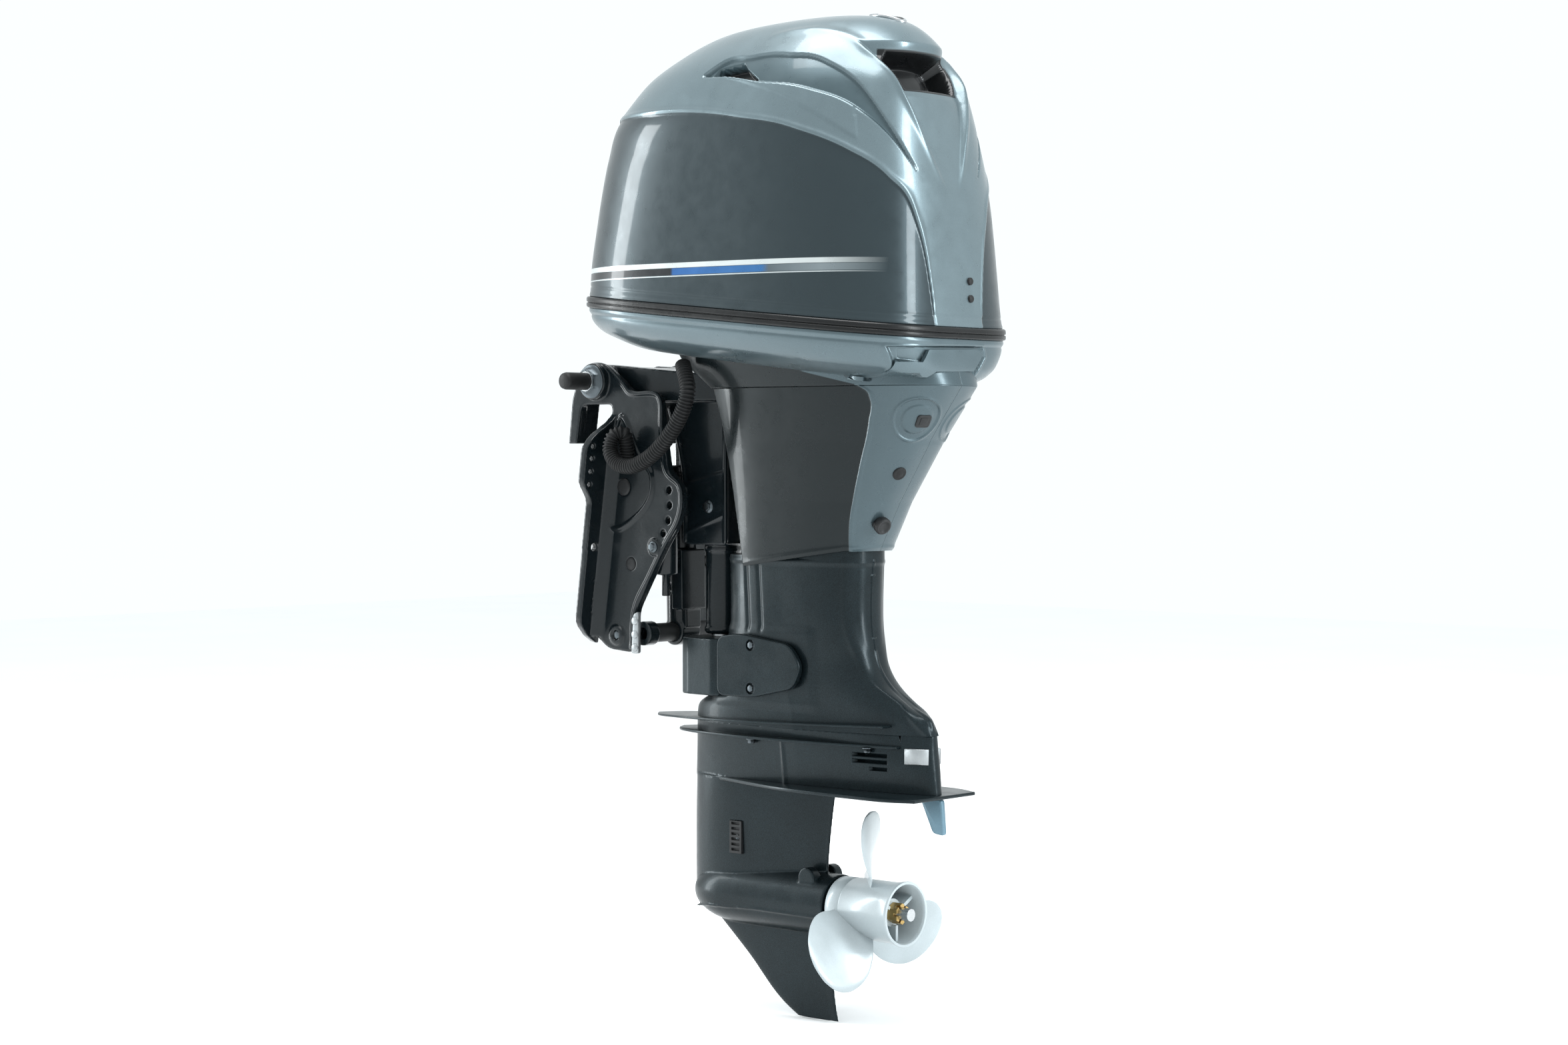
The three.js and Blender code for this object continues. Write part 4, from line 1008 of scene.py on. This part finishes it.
def apron_half():
    grid = apron_grid(300, 320, 19.6, -236, 0.3)
    x, y, z = np.moveaxis(grid, 2, 0)
    out = normals(grid, False)
    if np.sum(out[..., 1]) > 0:
        grid = grid[:, ::-1]
        x, y, z = np.moveaxis(grid, 2, 0)
        out = normals(grid, False)
    edge_x = hermite([p[1] for p in APRON_EDGE], [p[0] for p in APRON_EDGE], z)
    dark = edge_x - x
    crease = near_line([(525, -60), (433, -205)], x, z)
    disc = 35 - np.sqrt((x - 547) ** 2 + (y + 43) ** 2 + (z + 28) ** 2)
    push = -1.5 * smooth(dark, 3.0) + ridge(dark + 3, 1.0, 3)
    push += ridge(crease, 1.4, 7)
    push += ridge(disc, 1.3, 2.0) - 1.2 * smooth(disc - 2, 3) + 1.6 * smooth(disc - 12, 4)
    hem = polyline(APRON_HEM, x)
    push += ridge(z - hem - 5, 1.0, 3)
    grid = grid + out * push[..., None]
    return grid, dark


def aprons():
    grid, dark = apron_half()
    skins = [("port_apron", grid, dark), ("starboard_apron", mirror_grid(grid), dark[:, ::-1])]
    for name, skin, order in skins:
        obj = piece(name + "_skin", [shell(skin, 3.6)])
        tag(obj, "panel", np.r_[order.ravel(), order.ravel()])
        stand(obj, apron_paint, name)

    def seat(near, parts):
        """Parts drawn round the origin along +Z, moved to the apron's skin nearest a point."""
        d = np.linalg.norm(grid - np.asarray(near, float), axis=2)
        r, c = np.unravel_index(np.argmin(d), d.shape)
        out = Vector(normals(grid, False)[r, c])
        turn = np.array(out.to_track_quat("Z", "Y").to_matrix())
        return [(np.asarray(p) @ turn.T + grid[r, c], f) for p, f in parts]

    port = [slab(rounded([(-11, -10), (11, -10), (11, 10), (-11, 10)], 5), -6, 1.4, "xy", 0.9),
            slab(rounded([(-6, -6), (6, -6), (6, 6), (-6, 6)], 2), 0, 2.4, "xy", 0.8)]
    put("idle_port", seat((549, -34, -30), port), black_plastic, "idle_exhaust_port")
    plug = [lathe([(-3, 10), (0.8, 10), (2.2, 8.6), (1.4, 6), (2.8, 4.5), (3.2, 0.02)], "z", (0, 0, 0))]
    put("apron_plug", seat((522, -36, -114), plug), black_rubber, body="outboard")
    knob = [(-8, 9), (3, 9), (4, 11.5), (5, 12), (11, 12.4), (13.5, 11), (13.5, 8.5), (12, 7.5), (12, 0.02)]
    flush = [lathe(knob, "z", (0, 0, 0)), box(-13, 13, -3, 3, 2, 7, 1)]
    put("flush_cap", seat((484, -30, -181), flush), black_plastic, "flush_connector")


# ---- upper case ---------------------------------------------------------------------------------
def plate(tip, side, z0, z1, drop=0.0):
    """A leaf-shaped plate, pointed ahead and blunt behind, thinner at its rim."""
    port = along([(tip, 0.0), (tip + (side[0][0] - tip) * 0.35, side[0][1] * 0.62)] + list(side), count=110)
    outline = np.vstack([port * [1, -1], port[::-1][:-1]])
    pts, faces = slab(outline, z0, z1, "xy", (z1 - z0) * 0.32)
    pts[:, 2] -= drop * (pts[:, 0] - tip) / 500
    return pts, faces


CASE_STATIONS = [  # z, fwd, aft, half, exponent, taper
    (-462.4, 104, 542, 50, 3, 0.5), (-440, 108, 534, 50, 3, 0.45), (-422, 136, 500, 50, 3, 0.3),
    (-402, 160, 470, 51, 3, 0.2), (-372, 172, 444, 52, 3, 0.1), (-333, 176, 434, 53, 3, 0),
    (-218, 178, 432, 56, 3, 0),
]


def upper_case():
    rows, cols = 200, 420
    table = stations(CASE_STATIONS, rows)
    grid = np.array([at_height(hull(f, a, h, n, cols, t), z) for z, f, a, h, n, t in table])
    x, y, z = np.moveaxis(grid, 2, 0)
    out = normals(grid)
    side = np.abs(y)
    crease_x = hermite([-462, -425, -395, -350, -210], [545, 505, 458, 431, 419], z)
    away = x - crease_x + 6
    push = ridge(away, 2.0, 5) * (side > 6) - 1.4 * smooth(away - 9, 8) * (side > 3)
    for groove in (236, 262):
        across = x - groove + 0.04 * (z + 236)
        push += ridge(across, -1.6, 3.5) * smooth(z + 325, 12) * (side > 30)
    push += ridge(z + 225, 1.5, 4)
    push += 2.5 * smooth(118 - np.abs(x - 262) - 18, 20) * smooth(56 - np.abs(z + 377), 14) * (side > 30)
    grid = grid + out * push[..., None]
    neck = np.array([at_height(hull(207, 432, 56, 3, 120), z) for z in (-226, -100, 23)])
    splash = plate(9, [(80, 42), (200, 64), (340, 62), (486, 46)], -463.4, -460.2, -12)
    obj = piece("upper_case_casting", [loft(grid), loft(neck), splash])
    stand(obj, case_paint, "upper_case")
    crisp_edges(obj)

    outline = rounded([(190, -336), (232, -330), (330, -342), (352, -372), (338, -404), (258, -421),
                       (190, -421)], 14)
    for side, sign, turn in SIDES:
        cover = piece(side + "_mount_cover", [turn(slab(outline, -66, -56.5, "xz", 2.6))])
        holes = [turn(lathe([(-70, 8.2), (-61.5, 8.2)], "y", (256, 0, z))) for z in (-346, -408)]
        boolean(cover, [piece("holes", holes)])
        crisp(cover, 1.1, 3, 35)
        stand(cover, case_paint, side + "_lower_mount_cover")
        heads = [bolt((256, sign * 61.5, z), "y", 5.2, 5, sign) for z in (-346, -408)]
        put(side + "_mount_bolts", heads, bolt_finish, body="outboard")


def crisp_edges(obj):
    """Keeps edges sharper than 42 degrees crisp in the shading."""
    obj.data.set_sharp_from_angle(angle=math.radians(42))


# ---- gearcase -----------------------------------------------------------------------------------
def gearcase():
    def levels(table, ring, count=60):
        t = stations(table, count)
        return np.array([at_height(ring(*row[1:]), row[0]) for row in t])

    head = levels([(-545, 97, 550, 38, 3, 0.3), (-505, 100, 546, 42, 3, 0.3), (-478, 102, 543, 46, 3, 0.4),
                   (-461.6, 104, 542, 50, 3, 0.5)], lambda f, a, h, n, t: hull(f, a, h, n, 200, t))
    strut = levels([(-712, 94, 345, 31), (-700, 94, 345, 31), (-655, 94, 347, 32), (-600, 95, 353, 34),
                    (-543, 97, 362, 36)], lambda f, a, h: foil(f, a, h, 160, 2.2), 50)
    skeg = levels([(-881.5, 290, 367, 3.5), (-870, 270, 364, 4.2), (-800, 190, 354, 6), (-738, 116, 345, 9)],
                  lambda f, a, h: foil(f, a, h, 120, 1.4), 50)
    nose = [(95, 0.02), (95.6, 5), (98, 12.5), (104, 21), (113, 28.5), (126, 35), (142, 40),
            (158, 42.8), (176, 44), (372, 44)]
    radii = along(nose, count=90)
    bullet = lathe([tuple(p) for p in radii], "x", (0, 0, PROP_Z), 120)
    parts = [loft(head), loft(strut), loft(skeg), bullet]
    for sign in (-1, 1):
        parts.append(tube([(244, sign * 34, -478), (256, sign * 36, -500), (292, sign * 33, -546)], 5, 14))
        parts.append(tube([(298, sign * 44, -478), (299, sign * 37, -546)], 3.2, 12))
        parts.append(lathe([(-8, 15), (8, 15)], "y", (332, sign * 24, -676), 40))
        seam = [(x, sign * y, z) for x, y, z in
                ((112, 24, -738), (150, 40, -732), (240, 43, -727), (370, 43, -727))]
        parts.append(tube(seam, 1.6, 10))
    bores = [lathe([(200, 36.6), (390, 36.6)], "x", (0, 0, PROP_Z), 80),
             box(400, 500, -24, 24, -530, -450)]
    for x0, z0 in [(422, -492), (422, -501), (450, -511)]:
        bores.append(box(x0, 480, -60, 60, z0 - 2.6, z0 + 2.6))
    for sign in (-1, 1):
        bores.append(box(186, 210, sign * 44 - 15, sign * 44 + 15, -653, -605))
    body = welded("gearcase_casting", parts, coarse(1.5), 6, bores)
    stand(body, case_paint, "gearcase")
    flange = plate(60, [(110, 42), (220, 60), (360, 56), (500, 32)], -481, -477)
    av = plate(116, [(200, 44), (330, 78), (440, 84), (520, 82), (560, 66)], -548, -543)
    plates = piece("gearcase_plates", [flange, av])
    crisp_edges(plates)
    stand(plates, case_paint, body="outboard")
    heads = []
    for sign in (-1, 1):
        heads += [bolt((x, sign * y, -481), "z", 5.5, 7, -1) for x, y in ((244, 50), (452, 38))]
        heads.append(bolt((200, sign * 32.2, -629), "y", 2.6, 1.6, sign))
    put("gearcase_bolts", heads, bolt_finish, body="outboard")
    for side, sign in (("port", -1), ("starboard", 1)):
        pts, faces = box(-17, 17, -4, 3.2, -11, 11, 1.2)
        c, r = math.cos(math.radians(23)), math.sin(math.radians(23))
        x, y, z = pts.T
        pts = np.stack([524 + x * c + y * r, 17.6 - x * r + y * c, z - 490.5], 1)
        part = (pts, faces) if sign > 0 else mirrored((pts, faces))
        put(side + "_case_anode", [part], raw_alloy, side + "_side_anode")
    tab = slab(rounded([(518, -548.3), (556, -548.3), (560, -598), (541, -596)], 5), -4.5, 4.5, "xz", 2.2)
    put("trim_fin", [tab], tab_paint, "trim_tab")
    for side in ("port", "starboard"):
        crisp(frame["nodes"][side + "_water_inlet"], 0.5)


# ---- propeller ----------------------------------------------------------------------------------
def propeller():
    outline = np.array([(34, 62, 0, 6.4), (50, 80, 1, 5.6), (72, 102, 3, 4.6), (96, 114, 6, 3.8),
                        (116, 106, 9, 3.2), (130, 84, 12, 2.7), (136, 62, 14, 2.4), (139.6, 34, 16, 2.0),
                        (140.9, 8, 17, 1.2)], float)
    radii = np.r_[np.linspace(34, 130, 40), 130 + 10.9 * np.sin(np.linspace(0.08, math.pi / 2, 18))]
    rows = []
    for radius in radii:
        chord, sweep, thick = (hermite(outline[:, 0], outline[:, i], radius) for i in (1, 2, 3))
        angle = math.atan2(330, 2 * math.pi * max(radius, 50))
        t = np.linspace(0, 2 * math.pi, 48, endpoint=False)
        a = chord / 2 * np.cos(t) - sweep
        b = thick / 2 * np.sin(t) * (1 - 0.25 * np.cos(t)) + 2.5 * (1 - np.cos(t) ** 2) * (chord / 110)
        tangential = a * math.cos(angle) + b * math.sin(angle)
        axial = -a * math.sin(angle) + b * math.cos(angle) + 0.12 * (radius - 34)
        wrap = tangential / radius
        rows.append(np.stack([419 + axial, radius * np.sin(wrap), radius * np.cos(wrap)], 1))
    blade = loft(np.array(rows))
    parts = [rolled(blade, 2 * math.pi * k / 3, PROP_Z) for k in range(3)]
    hub = [(376, 37), (376, 41.4), (377, 42.3), (398, 42.6), (399, 41.8), (401, 41.8), (402, 42.7), (470, 43),
           (480, 44.2), (486, 45.4), (489.5, 46.2), (491, 45.6), (491, 42.2), (489.5, 41.2), (486, 40.4), (474, 38.6),
           (440, 37.6), (376, 37)]
    parts.append(lathe(hub, "x", (0, 0, PROP_Z), 120))
    core = [(392, 13), (392, 19.5), (393, 20), (465, 20), (466, 19.5), (466, 13), (392, 13)]
    parts.append(lathe(core, "x", (0, 0, PROP_Z), 80))
    rib = box(396, 474, -2.5, 2.5, 17, 39.8, 0.8)
    parts += [rolled(rib, math.radians(60 + 120 * k), PROP_Z) for k in range(3)]
    obj = piece("propeller_casting", parts)
    crisp_edges(obj)
    stand(obj, propeller_paint, "propeller")
    nut = crisp(frame["nodes"]["propeller_nut"], 0.8)
    nut.data.materials.clear()
    nut.data.materials.append(brass)


# ---- clamp brackets and swivel ------------------------------------------------------------------
WEB_RIM = [(-72, 41), (-50, 57), (-16, 57), (22, 30), (36, 17), (95, 11), (101, -37), (111, -98), (137, -119),
           (141, -144), (133, -171), (107, -206), (76, -253), (46, -301), (40, -360)]
POCKET_RIM = [(20, -18), (55, -76), (80, -102), (80, -132), (60, -158), (8, -184), (-14, -170), (-4, -96)]


def clamp_brackets():
    tilt_centre, foot_centre = (TILT_X, 0, TILT_Z), (9, 0, -341)
    for side, sign, turn in SIDES:
        rim = along([(x, -87.5, z) for x, z in WEB_RIM], step=4)
        pocket = along([(x, -88, z) for x, z in POCKET_RIM], step=4, closed=True)
        parts = [cad(side + "_clamp_bracket"), turn(tube(rim, 3.4, 12)), turn(tube(pocket, 3.6, 12, True))]
        wedge = slab([(10, -101), (10, -86), (31, -86)], -345, -36, "xy", 0.5)
        parts.append(turn(swung(wedge, LEAN)))
        parts += [turn(lathe(profile, "y", centre, sides)) for profile, centre, sides in (
            ([(-99, 27), (-76, 27)], tilt_centre, 90), ([(-101, 23), (-96, 24)], tilt_centre, 90),
            ([(-92, 14), (-80, 15)], foot_centre, 60), ([(-91, 12), (-80, 12)], (87, 0, -209), 60))]
        bores = [turn(lathe([(-120, 15.8), (-60, 15.8)], "y", tilt_centre, 60)),
                 turn(lathe([(-120, 8), (-84, 8)], "y", foot_centre, 40))]
        obj = welded(side + "_clamp_casting", parts, coarse(1.4), 5, bores)
        stand(obj, bracket_paint, side + "_clamp_bracket")
        nut = bolt((TILT_X, sign * 98.3, TILT_Z), "y", 18.5, 13.5, sign)
        put(side + "_tube_nut", [nut], bolt_finish, side + "_tilt_nut")
        small = [bolt((9, sign * 84.5, -341), "y", 6.5, 5, sign),
                 bolt((87, sign * 91, -209), "y", 6, 5, sign)]
        large_plug = [(-89.4, 0.02), (-90, 9.5), (-89, 12.6), (-86, 12.4), (-78, 11.6)]
        small_plug = [(-88.6, 0.02), (-89.2, 7), (-88.4, 9.4), (-86, 9.2), (-78, 8.8)]
        plugs = [turn(lathe(large_plug, "y", (24, 0, -122))), turn(lathe(small_plug, "y", (38, 0, -235)))]
        put(side + "_clamp_plugs", plugs, black_plastic, body="clamp")
        put(side + "_clamp_bolts", small, bolt_finish, body="clamp")
        anode = slab(rounded([(50, -308), (60, -304), (60, -366), (46, -366)], 4), -96, -88.3, "xz", 1.8)
        bosses = [lathe([(-98, 4.6), (-97, 6), (-90, 6)], "y", (54, 0, z)) for z in (-318, -338, -357)]
        obj = piece(side + "_transom_anode", [turn(anode)] + [turn(b) for b in bosses])
        stand(obj, raw_alloy, side + "_bracket_anode")
    cap = lathe([(-112.3, 10), (-112.3, 12.2), (-114, 12.8), (-150, 12.8), (-154.5, 11.6), (-156, 9),
                 (-156, 0.02)], "y", tilt_centre)
    put("tilt_end_cap", [cap], black_rubber, "tilt_tube_cap")


def swivel():
    column = lathe([(-337, 23), (-335, 25.3), (-200, 25.3), (-190, 25.3)], "z", (STEER_X, 0, 0), 80)
    rings = [lathe([(z - 4, 26.5), (z - 2.5, 27.6), (z + 2.5, 27.6), (z + 4, 26.5)], "z", (STEER_X, 0, 0), 80)
             for z in (-330, -212)]
    parts = [cad("swivel_bracket"), column] + rings
    for sign in (-1, 1):
        rim = along([(x, sign * 40, z) for x, z in ((73, -5), (90, -58), (102, -114), (103, -203))], step=4)
        back = along([(184, sign * 40, z) for z in (0, -71, -203)], step=4)
        parts += [tube(rim, 3, 12), tube(back, 3, 12)]
        parts.append(tube([(100, sign * 39, -120), (186, sign * 39, -100)], 3, 12))
        parts.append(tube([(100, sign * 39, -190), (186, sign * 39, -160)], 3, 12))
    bores = [lathe([(-400, 18.3), (100, 18.3)], "z", (STEER_X, 0, 0), 60),
             lathe([(-90, 16), (90, 16)], "y", (TILT_X, 0, TILT_Z), 60)]
    obj = welded("swivel_casting", parts, coarse(1.6), 6, bores)
    stand(obj, bracket_paint, "swivel_bracket")
    heads = [bolt((150, sign * 40, -150), "y", 7, 6, sign) for sign in (-1, 1)]
    put("swivel_bolts", heads, bolt_finish, body="swivel")
    obj = welded("lower_yoke_casting", [cad("lower_mount_yoke")], coarse(1.5), 8)
    stand(obj, case_paint, "lower_mount_yoke")


def tilt_unit():
    foot_x, foot_z = 58, -337
    axis = math.atan2(52 - foot_x, -34 - foot_z)

    def turned(part):
        return swung(part, axis, foot_x, foot_z)

    extras = [turned(lathe([(12, 22.4), (232, 22.4), (236, 24), (244, 24), (247, 20)], "z", (0, 0, 0), 90)),
              turned(lathe([(-20, 18), (-18, 20.3), (18, 20.3), (20, 18)], "y", (0, 0, 0), 80)),
              turned(lathe([(60, 24), (62, 25), (70, 25), (72, 24)], "z", (0, 0, 0), 90))]
    bores = [turned(lathe([(40, 9.2), (260, 9.2)], "z", (0, 0, 0), 50)),
             turned(lathe([(-40, 14.6), (40, 14.6)], "y", (0, 0, 0), 60))]
    obj = welded("tilt_cylinder_casting", [cad("tilt_cylinder")] + extras, coarse(1.3), 5, bores)
    stand(obj, bracket_paint, "tilt_cylinder")
    motor = lathe([(-282, 5.5), (-281, 6), (-252, 6), (-250, 17), (-248, 18), (-170, 18), (-168, 18.6), (-160, 18.6),
                   (-158, 18), (-104, 18), (-101, 16), (-100, 0.02)], "z", (76, -53, 0))
    put("tilt_motor_can", [motor], bracket_paint, "tilt_motor")


# ---- rigging hose -------------------------------------------------------------------------------
HOSE_ROUTE = [
    (170, -114, 54), (184, -124, 40), (196, -131, 18), (190, -132, -6), (173, -132, -32), (148, -132, -58),
    (118, -132, -79), (84, -132, -91), (54, -131, -87), (36, -128, -68), (38, -122, -47), (47, -112, -44),
    (46, -104, -66), (42, -102, -90),
]
HOSE_R = 11.5


def hose():
    step, ridge = 0.62, 4.6
    path = along(HOSE_ROUTE, step=step)
    length = np.arange(len(path)) * step
    radii = HOSE_R - 1.3 + 1.3 * np.tanh(2.2 * np.cos(2 * math.pi * length / ridge))
    split = int(0.42 * len(path))
    pieces = [("hose_above", slice(0, split), "rigging_hose_upper", "outboard", "swivel"),
              ("hose_below", slice(split - 1, None), "rigging_hose_lower", "swivel", "clamp")]
    for name, span, node, a, b in pieces:
        part = path[span]
        obj = piece(name, [tube(part, HOSE_R, 28, radii=radii[span])])
        obj.data.materials.append(black_rubber)
        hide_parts(node)
        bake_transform(obj)


# ---- the rest of the CAD nodes keep their shape --------------------------------------------------
def dress_cad():
    looks = {
        case_paint: ["steering_bracket"],
        engine_paint: ["exhaust_guide", "oil_pan", "engine_block", "cylinder_head"],
        steel: ["tilt_tube", "kingpin", "tilt_rod", "tilt_support_lever", "crankshaft", "flywheel",
                "driveshaft", "pinion_gear", "forward_gear", "reverse_gear", "dog_clutch", "shift_rod",
                "propeller_shaft"],
        black_plastic: ["head_cover", "intake_manifold", "starter_motor", "electrics_box",
                        "flywheel_cover", "water_pump_housing", "trim_rocker_switch",
                        "port_water_inlet", "starboard_water_inlet", "lower_cross_tube"],
        raw_alloy: ["bearing_carrier"],
        black_rubber: ["water_pump_impeller"],
        brass: ["propeller_nut"],
    }
    for material, nodes in looks.items():
        for name in nodes:
            node = frame["nodes"][name]
            node.data.materials.clear()
            node.data.materials.append(material)
            if not node.modifiers:
                crisp(node, 0.6, 2, 35)


stage()
top_cowling()
seal_band()
bottom_cowling()
latch()
aprons()
upper_case()
gearcase()
propeller()
clamp_brackets()
swivel()
tilt_unit()
hose()
dress_cad()
